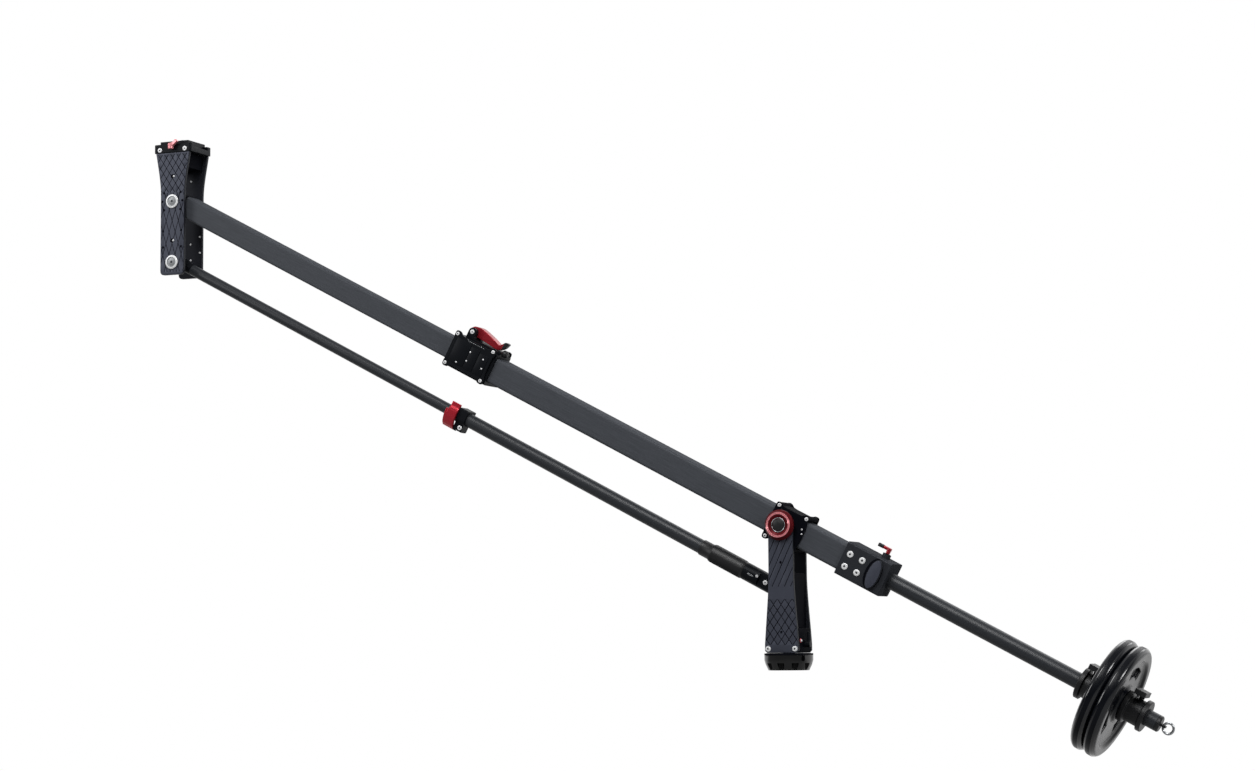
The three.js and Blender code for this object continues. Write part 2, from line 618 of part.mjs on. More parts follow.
// Outer boom tube with the tilt collar that carries it on the axle
function makeOuterBoom() {
  const axleCut = [-PLATE_OUT, PLATE_OUT];
  const axleSeat = rod('y', AXLE_RADIUS + RUNNING_GAP, axleCut, SMALL_ROUND_STEPS);
  const tube = squareTube(OUTER_TUBE, OUTER_WALL, OUTER_CORNER, [OUTER_FRONT, OUTER_REAR]);
  add(boom, 'outer_tube', tube.subtract(axleSeat), 'carbonTube');

  const tubeSide = OUTER_TUBE / 2 + GAP;
  for (const [word, way] of [['top', 1], ['bottom', -1]]) {
    add(boom, `collar_saddle_${word}`, makeSaddle(way, tubeSide), 'blackAnodised');
  }

  const cheekOut = tubeSide + CHEEK_THICKNESS;
  const cheekShape = outline(
    scaled(CHEEK_SHARES, CHEEK_HALF_LENGTH, CHEEK_HALF_HEIGHT, [COLLAR_MIDDLE, 0]), CHEEK_ROUNDING,
  );
  for (const [word, side] of sides) {
    const cheek = prism('y', cheekShape, sideSpan(side, tubeSide, cheekOut), 2).subtract(axleSeat);
    add(boom, `collar_cheek_${word}`, cheek, 'blackAnodised');
    const washerSpan = sideSpan(side, cheekOut + GAP, PLATE_IN - GAP);
    const washer = sleeve('y', AXLE_RADIUS + RUNNING_GAP, TILT_WASHER_RADIUS, washerSpan);
    add(boom, `tilt_washer_${word}`, washer, 'brass');
  }
}

// The part of the collar above or below the tube, with the ties that its four screws enter
function makeSaddle(way, tubeSide) {
  const width = [-OUTER_TUBE / 2, OUTER_TUBE / 2];
  const span = sideSpan(way, tubeSide, tubeSide + SADDLE_HEIGHT);
  const ties = [COLLAR_MIDDLE - TIE_PLACE, COLLAR_MIDDLE + TIE_PLACE];
  return ties.reduce(
    (body, place) => body.add(rod('y', TIE_RADIUS, width, SMALL_ROUND_STEPS, [place, 0, way * TIE_RISE])),
    box(ties, width, span),
  );
}

// Lock bracket: housing, covers, cam lever and tension knob
function makeLockBracket() {
  const rear = OUTER_FRONT + LOCK_SOCKET;
  const front = rear - LOCK_LENGTH;
  const middle = (front + rear) / 2;
  const halfWidth = OUTER_TUBE / 2 + GAP + LOCK_WALL;
  const pinPlace = middle + LUG_OFFSET;
  const pad = [LOCK_HALF_HEIGHT - OVERRUN, LOCK_HALF_HEIGHT + PRESSURE_PAD_HEIGHT];
  const clear = LEVER_HUB_RADIUS + RUNNING_GAP;
  const hubRoom = rod('y', clear, [-LUG_INSIDE, LUG_INSIDE], SMALL_ROUND_STEPS, [pinPlace, 0, LUG_RISE]);
  const pinSeat = rod('y', LEVER_PIN_RADIUS + RUNNING_GAP, [-LUG_OUTSIDE - OVERRUN, LUG_OUTSIDE + OVERRUN],
    SMALL_ROUND_STEPS, [pinPlace, 0, LUG_RISE]);
  let housing = prism('x', roundedBox(halfWidth, LOCK_HALF_HEIGHT, LOCK_ROUNDING), [front, rear])
    .add(box([pinPlace + LUG_RADIUS, rear], [-LUG_OUTSIDE, LUG_OUTSIDE], pad));
  for (const [, side] of sides) {
    const span = sideSpan(side, LUG_INSIDE, LUG_OUTSIDE);
    const root = [LOCK_HALF_HEIGHT - OVERRUN, LUG_RISE];
    housing = housing
      .add(box([pinPlace - LUG_RADIUS, pinPlace + LUG_RADIUS], span, root))
      .add(rod('y', LUG_RADIUS, span, SMALL_ROUND_STEPS, [pinPlace, 0, LUG_RISE]));
  }
  housing = housing
    .subtract(pinSeat)
    .subtract(hubRoom)
    .subtract(squareBar(OUTER_TUBE + 2 * GAP, OUTER_CORNER, [OUTER_FRONT - GAP, rear + OVERRUN]))
    .subtract(squareBar(INNER_TUBE + 2 * RUNNING_GAP, INNER_CORNER, [front - OVERRUN, rear]));
  add(boom, 'lock_housing', housing, 'blackAnodised');

  const coverIn = halfWidth + GAP;
  const coverMiddle = [middle + COVER_SHIFT, COVER_RISE];
  const coverCorners = scaled(COVER_SHARES, COVER_HALF_LENGTH, COVER_HALF_HEIGHT, coverMiddle);
  const coverShape = outline(coverCorners, COVER_ROUNDING);
  for (const [word, side] of sides) {
    const cover = prism('y', coverShape, sideSpan(side, coverIn, coverIn + COVER_THICKNESS), 2);
    add(boom, `lock_cover_${word}`, cover, 'blackAnodised');
  }

  const pin = rod('y', LEVER_PIN_RADIUS, [-LUG_OUTSIDE, LUG_OUTSIDE], SMALL_ROUND_STEPS,
    [pinPlace, 0, LUG_RISE]);
  add(boom, 'lock_lever_pin', pin, 'brightSteel');

  const leverSpan = [-LEVER_HALF_WIDTH, LEVER_HALF_WIDTH];
  const armCorners = scaled(LEVER_SHARES, LEVER_LENGTH, LEVER_LENGTH, [pinPlace, LUG_RISE]);
  const pinBore = LEVER_PIN_RADIUS + RUNNING_GAP;
  const lever = rod('y', LEVER_HUB_RADIUS, leverSpan, SMALL_ROUND_STEPS, [pinPlace, 0, LUG_RISE])
    .add(prism('y', outline(armCorners, LEVER_ROUNDING), leverSpan))
    .subtract(rod('y', pinBore, [-LUG_OUTSIDE, LUG_OUTSIDE], SMALL_ROUND_STEPS, [pinPlace, 0, LUG_RISE]));
  add(boom, 'lock_lever', lever, 'redAnodised');

  const knobFrom = rear + GAP;
  const knobEnd = knobFrom + LOCK_KNOB_LENGTH;
  const knob = lathe('x', [
    [0, knobFrom], [LOCK_KNOB_RADIUS / 2, knobFrom], [LOCK_KNOB_RADIUS, knobFrom + LOCK_KNOB_LENGTH / 4],
    [LOCK_KNOB_RADIUS, knobEnd - LOCK_KNOB_LENGTH / 4], [LOCK_KNOB_RADIUS / 2, knobEnd], [0, knobEnd],
  ], SMALL_ROUND_STEPS, [0, LOCK_KNOB_SIDE, LOCK_KNOB_RISE]);
  add(boom, 'lock_knob', knob, 'blackPlastic');
}

// Rear clamp block with its stud and lever
function makeRearBlock() {
  const bar = BAR_RADIUS + RUNNING_GAP;
  const width = BLOCK_HALF_WIDTH;
  const boss = new THREE.Shape();
  boss.absellipse(BOSS_PLACE, 0, BOSS_HALF_LENGTH, BOSS_HALF_HEIGHT, 0, 2 * Math.PI);
  const studSpan = [BLOCK_HALF_HEIGHT - OVERRUN, BLOCK_HALF_HEIGHT + STUD_HEIGHT];
  const block = prism('x', roundedBox(width, BLOCK_HALF_HEIGHT, BLOCK_ROUNDING), [BLOCK_FRONT, BLOCK_REAR])
    .add(prism('y', boss, [-width - BOSS_HEIGHT, 0], 3 * ARC_STEPS))
    .add(rod('z', STUD_RADIUS, studSpan, SMALL_ROUND_STEPS, [STUD_PLACE, 0, 0]))
    .subtract(squareBar(OUTER_TUBE + 2 * GAP, OUTER_CORNER, [BLOCK_FRONT - OVERRUN, OUTER_REAR + GAP]))
    .subtract(rod('x', bar, [OUTER_REAR, BLOCK_REAR + OVERRUN]));
  add(boom, 'rear_clamp_block', block, 'blackAnodised');

  const foot = BLOCK_HALF_HEIGHT + STUD_HEIGHT + GAP;
  const top = foot + BAR_LEVER_STEM;
  const half = BAR_LEVER_THICKNESS / 2;
  const arm = box([STUD_PLACE - BAR_LEVER_ARM, STUD_PLACE + BAR_LEVER_STEM_RADIUS], [-half, half],
    [top - BAR_LEVER_THICKNESS, top]);
  const lever = rod('z', BAR_LEVER_STEM_RADIUS, [foot, top], SMALL_ROUND_STEPS, [STUD_PLACE, 0, 0]).add(arm);
  add(boom, 'bar_lock_lever', lever, 'redAnodised');
}

// Inner boom tube, with the fitting that turns on the head's upper axle
function makeInnerBoom() {
  const tubeFront = -BOOM_LENGTH + TIP_EYE_RADIUS + GAP;
  const tubeRear = OUTER_FRONT + INNER_INSERT;
  add(boom, 'inner_tube',
    squareTube(INNER_TUBE, INNER_WALL, INNER_CORNER, [tubeFront, tubeRear]), 'carbonTube');

  const half = INNER_TUBE / 2;
  const plugSize = INNER_TUBE - 2 * INNER_WALL - 2 * GAP;
  const eyeSpan = [-half, half];
  const at = [-BOOM_LENGTH, 0, 0];
  const seat = AXLE_RADIUS + RUNNING_GAP;
  const tip = rod('y', TIP_EYE_RADIUS, eyeSpan, ROUND_STEPS, at)
    .add(squareBar(plugSize, INNER_CORNER, [-BOOM_LENGTH, tubeFront + TIP_PLUG_LENGTH]))
    .subtract(rod('y', seat, [-half - OVERRUN, half + OVERRUN], SMALL_ROUND_STEPS, at));
  add(boom, 'boom_tip', tip, 'blackAnodised');
}

// Counterweight bar with its end cap and steel ring
function makeWeightBar() {
  add(boom, 'weight_bar',
    sleeve('x', BAR_RADIUS - BAR_WALL, BAR_RADIUS, [BAR_FRONT, BAR_REAR]), 'carbonTube');

  const capFrom = BAR_REAR + GAP;
  const capEnd = capFrom + END_CAP_LENGTH;
  const plug = BAR_RADIUS - BAR_WALL - GAP;
  const hookMiddle = RING_CENTRE - RING_RADIUS;
  const wireRoom = RING_WIRE + 2 * RUNNING_GAP;
  const hookEnd = hookMiddle + wireRoom + EYE_RADIUS;
  const hookHalf = EYE_RADIUS + wireRoom;
  const cap = lathe('x', [
    [0, capFrom - END_CAP_PLUG], [plug, capFrom - END_CAP_PLUG], [plug, capFrom], [BAR_RADIUS, capFrom],
    [BAR_RADIUS, capEnd - PUCK_EDGE], [BAR_RADIUS - PUCK_EDGE, capEnd], [0, capEnd],
  ])
    .add(box([capEnd - OVERRUN, hookEnd], [-hookHalf, hookHalf], [-EYE_LENGTH / 2, EYE_LENGTH / 2]))
    .subtract(rod('z', wireRoom, [-EYE_LENGTH, EYE_LENGTH], HOLE_STEPS, [hookMiddle, 0, 0]));
  add(boom, 'bar_end_cap', cap, 'blackPlastic');
  add(boom, 'bar_end_ring', makeRing(), 'brightSteel');
}

// The ring passes through the cap's eye and lies flat in the boom's plane
function makeRing() {
  const ring = new THREE.TorusGeometry(RING_RADIUS, RING_WIRE, HOLE_STEPS, ROUND_STEPS);
  ring.rotateX(Math.PI / 2);
  ring.translate(RING_CENTRE, 0, 0);
  return solid(ring);
}

// One counterweight: a cast disc with a rounded rim, a dished face and grip pockets
function makeWeight(front) {
  const back = front + WEIGHT_THICKNESS;
  const edge = WEIGHT_RADIUS - WEIGHT_EDGE / 3;
  const rim = WEIGHT_RADIUS - WEIGHT_RIM;
  let disc = lathe('x', [
    [WEIGHT_BORE, front], [WEIGHT_RADIUS - WEIGHT_EDGE, front], [edge, front + WEIGHT_EDGE / 3],
    [WEIGHT_RADIUS, front + WEIGHT_EDGE], [WEIGHT_RADIUS, back - WEIGHT_EDGE],
    [edge, back - WEIGHT_EDGE / 3], [WEIGHT_RADIUS - WEIGHT_EDGE, back], [rim, back],
    [rim - WEIGHT_DISH, back - WEIGHT_DISH], [WEIGHT_HUB_RADIUS + WEIGHT_DISH, back - WEIGHT_DISH],
    [WEIGHT_HUB_RADIUS, back], [WEIGHT_BORE, back], [WEIGHT_BORE, front],
  ], WHEEL_STEPS);
  for (let i = 0; i < WEIGHT_SLOTS; i += 1) {
    const middle = Math.PI / 2 + i * 2 * Math.PI / WEIGHT_SLOTS;
    const slot = new THREE.Shape();
    slot.absarc(0, 0, SLOT_OUTER, middle - SLOT_ARC / 2, middle + SLOT_ARC / 2, false);
    slot.absarc(0, 0, SLOT_INNER, middle + SLOT_ARC / 2, middle - SLOT_ARC / 2, true);
    slot.closePath();
    disc = disc.subtract(prism('x', slot, [back - WEIGHT_DISH - SLOT_DEPTH, back + OVERRUN], 2 * ARC_STEPS));
  }
  return disc;
}

// A clamp collar with a groove between two flanges
function makeCollar(front, length) {
  const waist = COLLAR_RADIUS - COLLAR_GROOVE;
  const inner = BAR_RADIUS + RUNNING_GAP;
  return lathe('x', [
    [inner, front], [COLLAR_RADIUS, front], [COLLAR_RADIUS, front + COLLAR_FLANGE],
    [waist, front + COLLAR_FLANGE], [waist, front + length - COLLAR_FLANGE],
    [COLLAR_RADIUS, front + length - COLLAR_FLANGE], [COLLAR_RADIUS, front + length],
    [inner, front + length], [inner, front],
  ]);
}

// The lever that tightens a collar, standing on its waist
function makeCollarLever(middle) {
  const foot = COLLAR_RADIUS - COLLAR_GROOVE + GAP;
  const top = foot + COLLAR_LEVER_STEM + COLLAR_LEVER_THICKNESS;
  const half = COLLAR_LEVER_HALF_WIDTH;
  const stem = rod('z', COLLAR_LEVER_RADIUS, [foot, top], SMALL_ROUND_STEPS, [middle, 0, 0]);
  const arm = box([middle - half, middle + half], [-COLLAR_LEVER_LENGTH, COLLAR_LEVER_RADIUS],
    [top - COLLAR_LEVER_THICKNESS, top]);
  return stem.add(arm);
}

// Two weights between two clamp collars
function makeWeights() {
  const second = WEIGHT_FRONT + WEIGHT_THICKNESS + GAP;
  const innerFront = WEIGHT_FRONT - GAP - COLLAR_LENGTH;
  const outerFront = second + WEIGHT_THICKNESS + GAP;
  add(boom, 'collar_inner', makeCollar(innerFront, COLLAR_LENGTH), 'blackPlastic');
  add(boom, 'weight_inner', makeWeight(WEIGHT_FRONT), 'enamelledIron');
  add(boom, 'weight_outer', makeWeight(second), 'enamelledIron');
  add(boom, 'collar_outer', makeCollar(outerFront, OUTER_COLLAR_LENGTH), 'blackPlastic');
  add(boom, 'collar_lever_inner', makeCollarLever(innerFront + COLLAR_LENGTH / 2), 'blackPlastic');
  add(boom, 'collar_lever_outer', makeCollarLever(outerFront + OUTER_COLLAR_LENGTH / 2), 'blackPlastic');
}

const link = new THREE.Group();
link.name = 'link';
link.position.set(0, 0, PIVOT_HEIGHT - PIVOT_SPACING);
link.rotation.y = THREE.MathUtils.degToRad(BOOM_TILT_DEG);
crane.add(link);

// Rear half of the lower link: tube, adjuster and the yoke on the column's link axle
function makeRearLink() {
  const bore = REAR_LINK_RADIUS - REAR_LINK_WALL;
  add(link, 'rear_link_tube',
    sleeve('x', bore, REAR_LINK_RADIUS, [REAR_LINK_FRONT, REAR_LINK_REAR]), 'carbonTube');

  const neckFront = HANDLE_FRONT - HANDLE_NECK;
  const neckBore = REAR_LINK_RADIUS + RUNNING_GAP;
  const floor = REAR_LINK_REAR + GAP;
  const coreBore = CORE_RADIUS + RUNNING_GAP;
  add(link, 'link_adjuster', lathe('x', [
    [neckBore, neckFront], [HANDLE_NECK_RADIUS, neckFront], [HANDLE_NECK_RADIUS, HANDLE_FRONT],
    [HANDLE_RADIUS, HANDLE_FRONT + HANDLE_RIM], [HANDLE_RADIUS, HANDLE_REAR - HANDLE_RIM],
    [HANDLE_RADIUS - HANDLE_RIM, HANDLE_REAR], [coreBore, HANDLE_REAR], [coreBore, floor],
    [neckBore, floor], [neckBore, neckFront],
  ]), 'blackPlastic');

  const yokeFront = HANDLE_REAR + GAP;
  const coreFront = REAR_LINK_REAR - FERRULE_LENGTH;
  const widths = [-YOKE_HALF_WIDTH, YOKE_HALF_WIDTH];
  const flats = YOKE_HALF_WIDTH + YOKE_RADIUS;
  const bulge = 2 * YOKE_RADIUS;
  const barrel = rod('x', YOKE_RADIUS, [yokeFront, -YOKE_EYE_RADIUS])
    .subtract(box([yokeFront + bulge, YOKE_RADIUS], [-flats, -YOKE_HALF_WIDTH], [-bulge, bulge]))
    .subtract(box([yokeFront + bulge, YOKE_RADIUS], [YOKE_HALF_WIDTH, flats], [-bulge, bulge]));
  const yoke = barrel
    .add(rod('y', YOKE_EYE_RADIUS, widths))
    .add(box([-YOKE_EYE_RADIUS - OVERRUN, 0], widths, [-YOKE_EYE_RADIUS, YOKE_EYE_RADIUS]))
    .add(rod('x', CORE_RADIUS, [coreFront, yokeFront + OVERRUN], SMALL_ROUND_STEPS))
    .subtract(rod('y', LINK_AXLE_RADIUS + RUNNING_GAP, [-flats, flats], SMALL_ROUND_STEPS));
  add(link, 'link_yoke', yoke, 'blackAnodised');
}

// Clamp at the front end of the rear link tube, with its lever
function makeLinkClamp() {
  const middle = (CLAMP_TOP + CLAMP_BOTTOM) / 2;
  const section = outline(
    scaled(CLAMP_SHARES, CLAMP_HALF_WIDTH, (CLAMP_TOP - CLAMP_BOTTOM) / 2, [0, middle]), CLAMP_ROUNDING,
  );
  const body = prism('x', section, [CLAMP_FRONT, CLAMP_REAR]);
  const noseFront = CLAMP_FRONT - CLAMP_NOSE_LENGTH;
  const clamp = body
    .add(rod('x', CLAMP_NOSE_RADIUS, [noseFront, CLAMP_FRONT + OVERRUN]))
    .subtract(rod('x', FRONT_LINK_RADIUS + RUNNING_GAP, [noseFront - OVERRUN, CLAMP_REAR]))
    .subtract(rod('x', REAR_LINK_RADIUS + GAP, [REAR_LINK_FRONT - GAP, CLAMP_REAR + OVERRUN]));
  add(link, 'link_clamp', clamp, 'blackAnodised');

  const leverRear = CLAMP_FRONT - GAP;
  const leverFront = leverRear - CLAMP_LEVER_LENGTH;
  const line = scaled(CLAMP_LEVER_SHARES, CLAMP_LEVER_RADIUS, CLAMP_LEVER_RADIUS);
  const lower = line.slice(0, -2);
  const arm = prism('x', strip(line, CLAMP_LEVER_THICKNESS, 3 * ARC_STEPS), [leverFront, leverRear]);
  const bow = prism('x', strip(lower, CLAMP_LEVER_THICKNESS, 2 * ARC_STEPS),
    [leverFront - CLAMP_LEVER_STEP, leverRear]);
  add(link, 'link_clamp_lever', arm.add(bow), 'redAnodised');
}

// Front half of the lower link: it slides in the rear half and ends on the head's lower axle
function makeFrontLink() {
  const eyeFront = -BOOM_LENGTH;
  const tubeFront = eyeFront + LINK_EYE_SHANK;
  const bore = FRONT_LINK_RADIUS - FRONT_LINK_WALL;
  add(link, 'front_link_tube',
    sleeve('x', bore, FRONT_LINK_RADIUS, [tubeFront, FRONT_LINK_REAR]), 'carbonTube');

  const widths = [-LINK_EYE_HALF_WIDTH, LINK_EYE_HALF_WIDTH];
  const at = [eyeFront, 0, 0];
  const through = [-PLATE_IN, PLATE_IN];
  const eye = rod('y', LINK_EYE_RADIUS, widths, ROUND_STEPS, at)
    .add(rod('x', FRONT_LINK_RADIUS, [eyeFront, tubeFront - GAP]))
    .add(rod('x', bore - GAP, [eyeFront, tubeFront + LINK_EYE_SHANK]))
    .subtract(rod('y', LINK_AXLE_RADIUS + 2 * RUNNING_GAP, through, SMALL_ROUND_STEPS, at));
  add(link, 'front_link_eye', eye, 'blackAnodised');
}

const head = new THREE.Group();
head.name = 'head';
const tiltAngle = THREE.MathUtils.degToRad(BOOM_TILT_DEG);
head.position.set(
  -BOOM_LENGTH * Math.cos(tiltAngle), 0, PIVOT_HEIGHT + BOOM_LENGTH * Math.sin(tiltAngle),
);
crane.add(head);

function headOutline() {
  const shape = new THREE.Shape();
  const rise = (HEAD_PLATE_TOP - HEAD_FLARE_FROM) / 3;
  const slack = (HEAD_TOP_HALF_WIDTH - HEAD_HALF_WIDTH) / 2.5;
  const bend = HEAD_TOP_HALF_WIDTH - slack;
  const low = HEAD_FLARE_FROM + rise;
  const high = HEAD_PLATE_TOP - rise;
  shape.moveTo(-HEAD_HALF_WIDTH + HEAD_CORNER, HEAD_BOTTOM);
  shape.lineTo(HEAD_HALF_WIDTH - HEAD_CORNER, HEAD_BOTTOM);
  shape.quadraticCurveTo(HEAD_HALF_WIDTH, HEAD_BOTTOM, HEAD_HALF_WIDTH, HEAD_BOTTOM + HEAD_CORNER);
  shape.lineTo(HEAD_HALF_WIDTH, HEAD_FLARE_FROM);
  shape.bezierCurveTo(HEAD_HALF_WIDTH, low, bend, high, HEAD_TOP_HALF_WIDTH, HEAD_PLATE_TOP);
  shape.lineTo(-HEAD_TOP_HALF_WIDTH, HEAD_PLATE_TOP);
  shape.bezierCurveTo(-bend, high, -HEAD_HALF_WIDTH, low, -HEAD_HALF_WIDTH, HEAD_FLARE_FROM);
  shape.lineTo(-HEAD_HALF_WIDTH, HEAD_BOTTOM + HEAD_CORNER);
  shape.quadraticCurveTo(-HEAD_HALF_WIDTH, HEAD_BOTTOM, -HEAD_HALF_WIDTH + HEAD_CORNER, HEAD_BOTTOM);
  return shape;
}

// Head frame: two side plates on a block, the two axles and their bearing caps
function makeHeadFrame() {
  const pivots = [['upper', 0, AXLE_RADIUS], ['lower', -PIVOT_SPACING, LINK_AXLE_RADIUS]];
  for (const [word, side] of sides) {
    let plate = prism('y', headOutline(), sideSpan(side, PLATE_IN, PLATE_OUT), 2 * ARC_STEPS);
    for (const [, height, radius] of pivots) {
      plate = plate.subtract(rod('y', radius + GAP, [-PLATE_OUT - OVERRUN, PLATE_OUT + OVERRUN],
        SMALL_ROUND_STEPS, [0, 0, height]));
    }
    add(head, `head_plate_${word}`, dimpled(plate, HEAD_DIMPLES, side), 'blackAnodised');
    for (const [level, height] of pivots) {
      const base = side * (PLATE_OUT + GAP);
      const face = base + side * CAP_HEIGHT;
      const floor = face - side * CAP_RECESS_DEPTH;
      const cap = lathe('y', [
        [0, base], [CAP_RADIUS, base], [CAP_RADIUS, face], [CAP_RECESS_RADIUS, face],
        [CAP_RECESS_RADIUS, floor], [0, floor],
      ], ROUND_STEPS, [0, 0, height]);
      add(head, `bearing_cap_${level}_${word}`, cap, 'brightSteel');
    }
  }
  for (const [level, height, radius] of pivots) {
    const axle = rod('y', radius, [-PLATE_OUT, PLATE_OUT], SMALL_ROUND_STEPS, [0, 0, height]);
    add(head, `head_axle_${level}`, axle, 'brightSteel');
  }
  const width = [-PLATE_IN + GAP, PLATE_IN - GAP];
  add(head, 'head_block',
    box([-HEAD_BLOCK_HALF, HEAD_BLOCK_HALF], width, [HEAD_BLOCK_BOTTOM, HEAD_PLATE_TOP]), 'blackAnodised');
}

// The dovetail section of the camera plate, grown by a clearance for its channel
function dovetail(clearance, low, high) {
  const narrow = CHANNEL_HALF_WIDTH - CHANNEL_UNDERCUT + clearance;
  const wide = CHANNEL_HALF_WIDTH + clearance;
  return new THREE.Shape([
    new THREE.Vector2(-wide, low), new THREE.Vector2(wide, low),
    new THREE.Vector2(narrow, high), new THREE.Vector2(-narrow, high),
  ]);
}

// Camera platform with its sliding quick release plate, lever and camera screw
function makePlatform() {
  const bottom = HEAD_PLATE_TOP + GAP;
  const top = bottom + PLATFORM_HEIGHT;
  const floor = top - CHANNEL_DEPTH;
  const corners = roundedBox(PLATFORM_HALF_LENGTH, PLATFORM_HALF_WIDTH, PLATFORM_ROUNDING);
  const run = [-PLATFORM_HALF_LENGTH - OVERRUN, PLATFORM_HALF_LENGTH + OVERRUN];
  const mouth = CHANNEL_HALF_WIDTH - CHANNEL_UNDERCUT + GAP;
  const platform = prism('z', corners, [bottom, top])
    .subtract(prism('x', dovetail(GAP, floor, top), run))
    .subtract(box(run, [-mouth, mouth], [top - OVERRUN, top + OVERRUN]));
  add(head, 'camera_platform', platform, 'blackCast');

  const plateBottom = floor + GAP;
  const plateTop = plateBottom + QUICK_PLATE_HEIGHT;
  const deck = CHANNEL_HALF_WIDTH + QUICK_PLATE_LIP;
  const span = [-QUICK_PLATE_HALF_LENGTH, QUICK_PLATE_HALF_LENGTH];
  const headRoom = CAMERA_SCREW_HEAD_RADIUS + RUNNING_GAP;
  const headFloor = plateBottom + CAMERA_SCREW_HEAD_HEIGHT + 2 * GAP;
  const plate = prism('x', dovetail(0, plateBottom, top), span)
    .add(box(span, [-deck, deck], [top + GAP, plateTop]))
    .add(box(span, [-mouth + GAP, mouth - GAP], [top - OVERRUN, plateTop]))
    .subtract(rod('z', CAMERA_SCREW_RADIUS + RUNNING_GAP, [plateBottom - OVERRUN, plateTop + OVERRUN],
      SMALL_ROUND_STEPS))
    .subtract(rod('z', headRoom, [plateBottom - OVERRUN, headFloor], SMALL_ROUND_STEPS));
  add(head, 'camera_plate', plate, 'blackAnodised');

  const screwBottom = plateBottom;
  const screwFlange = screwBottom + CAMERA_SCREW_HEAD_HEIGHT;
  const screwTop = plateTop + CAMERA_SCREW_RISE;
  add(head, 'camera_screw', lathe('z', [
    [0, screwBottom], [CAMERA_SCREW_HEAD_RADIUS, screwBottom], [CAMERA_SCREW_HEAD_RADIUS, screwFlange],
    [CAMERA_SCREW_RADIUS, screwFlange], [CAMERA_SCREW_RADIUS, screwTop], [0, screwTop],
  ], SMALL_ROUND_STEPS), 'brightSteel');

  makePlateLever(top);
}

// The lever on the platform's near side: an upright hub with a slanted arm
function makePlateLever(top) {
  const middle = -PLATFORM_HALF_WIDTH - GAP - PLATE_LEVER_HUB_RADIUS;
  const low = top - PLATE_LEVER_HUB_HEIGHT;
  const half = PLATE_LEVER_THICKNESS / 2;
  const line = scaled(PLATE_LEVER_SHARES, PLATE_LEVER_LENGTH, PLATE_LEVER_RISE, [0, low]);
  const arm = prism('y', strip(line, PLATE_LEVER_THICKNESS, 2 * ARC_STEPS), [middle - half, middle + half]);
  const hub = rod('z', PLATE_LEVER_HUB_RADIUS, [low, top], SMALL_ROUND_STEPS, [0, middle, 0]);
  add(head, 'plate_lever', hub.add(arm), 'redAnodised');
}

makeBase();
makeColumn();
makeTiltKnob();
makeOuterBoom();
makeLockBracket();
makeRearBlock();
makeInnerBoom();
makeWeightBar();
makeWeights();
makeRearLink();
makeLinkClamp();
makeFrontLink();
makeHeadFrame();
makePlatform();

export default crane;
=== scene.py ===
import json
import math

import bmesh
import bpy
from bpy.props import FloatProperty, FloatVectorProperty, IntProperty, PointerProperty
from bpy.types import Operator, Panel, PropertyGroup
from mathutils import Matrix, Vector


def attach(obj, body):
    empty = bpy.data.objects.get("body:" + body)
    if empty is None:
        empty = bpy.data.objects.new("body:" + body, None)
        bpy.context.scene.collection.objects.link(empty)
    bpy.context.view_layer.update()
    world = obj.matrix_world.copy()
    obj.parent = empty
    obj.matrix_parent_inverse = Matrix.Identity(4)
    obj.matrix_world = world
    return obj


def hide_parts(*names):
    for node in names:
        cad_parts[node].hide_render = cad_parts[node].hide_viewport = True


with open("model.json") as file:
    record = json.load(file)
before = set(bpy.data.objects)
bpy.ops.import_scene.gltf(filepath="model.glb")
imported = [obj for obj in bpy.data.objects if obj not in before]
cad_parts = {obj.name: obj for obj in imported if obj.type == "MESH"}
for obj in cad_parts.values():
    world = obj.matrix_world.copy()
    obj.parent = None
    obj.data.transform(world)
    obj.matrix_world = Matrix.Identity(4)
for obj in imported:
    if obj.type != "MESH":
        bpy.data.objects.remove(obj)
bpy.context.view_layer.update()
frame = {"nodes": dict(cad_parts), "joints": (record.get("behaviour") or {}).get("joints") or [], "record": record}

bl_info = {
    "name": "Camera Jib Crane",
    "version": (1, 0, 0),
    "blender": (4, 5, 0),
    "location": "View3D > Sidebar > Jib Crane",
    "description": "Dresses the jib crane's frame with its finishes, fasteners and engraving",
    "category": "Object",
}

MM = 0.001
WELD_DISTANCE = 0.005 * MM
FLAT_ANGLE = math.radians(1)
CREASE_ANGLE = math.radians(35)
FULL_TURN = 2 * math.pi

# The crane's two sides, each with the sign of Y that points outward
SIDES = (("near", -1), ("far", 1))

NODES = frame["nodes"]
BODY_OF = {
    node: body for body, nodes in frame["record"]["behaviour"]["bodies"].items() for node in nodes
}
SLOT_OF = {part["node"]: part["material_slot"] for part in frame["record"]["subparts"]}


# Places of the assemblies, read from the joints


def joint(name):
    """The frame's joint of that name"""
    return next(entry for entry in frame["joints"] if entry["name"] == name)


def placed(point, turn=0.0):
    """A place at a point in the crane's frame, turned about the Y axis"""
    return Matrix.Translation(Vector(point)) @ Matrix.Rotation(turn, 4, "Y")


BOOM_DIRECTION = Vector(joint("boom_extend")["axis"])
BOOM_TILT = math.atan2(BOOM_DIRECTION.z, -BOOM_DIRECTION.x)
TILT_PIVOT = Vector(joint("boom_tilt")["pos_m"])
CRANE = Matrix.Identity(4)
PIVOT = placed(TILT_PIVOT)
BOOM = placed(TILT_PIVOT, BOOM_TILT)
LINK = placed(joint("link_tilt")["pos_m"], BOOM_TILT)
HEAD = placed(joint("head_level")["pos_m"])


def extent(node, place=CRANE):
    """Lowest and highest corner of a node, in the frame of the assembly that carries it"""
    back = place.inverted()
    corners = [back @ vertex.co for vertex in NODES[node].data.vertices]
    return Vector(map(min, zip(*corners))), Vector(map(max, zip(*corners)))


# Colours


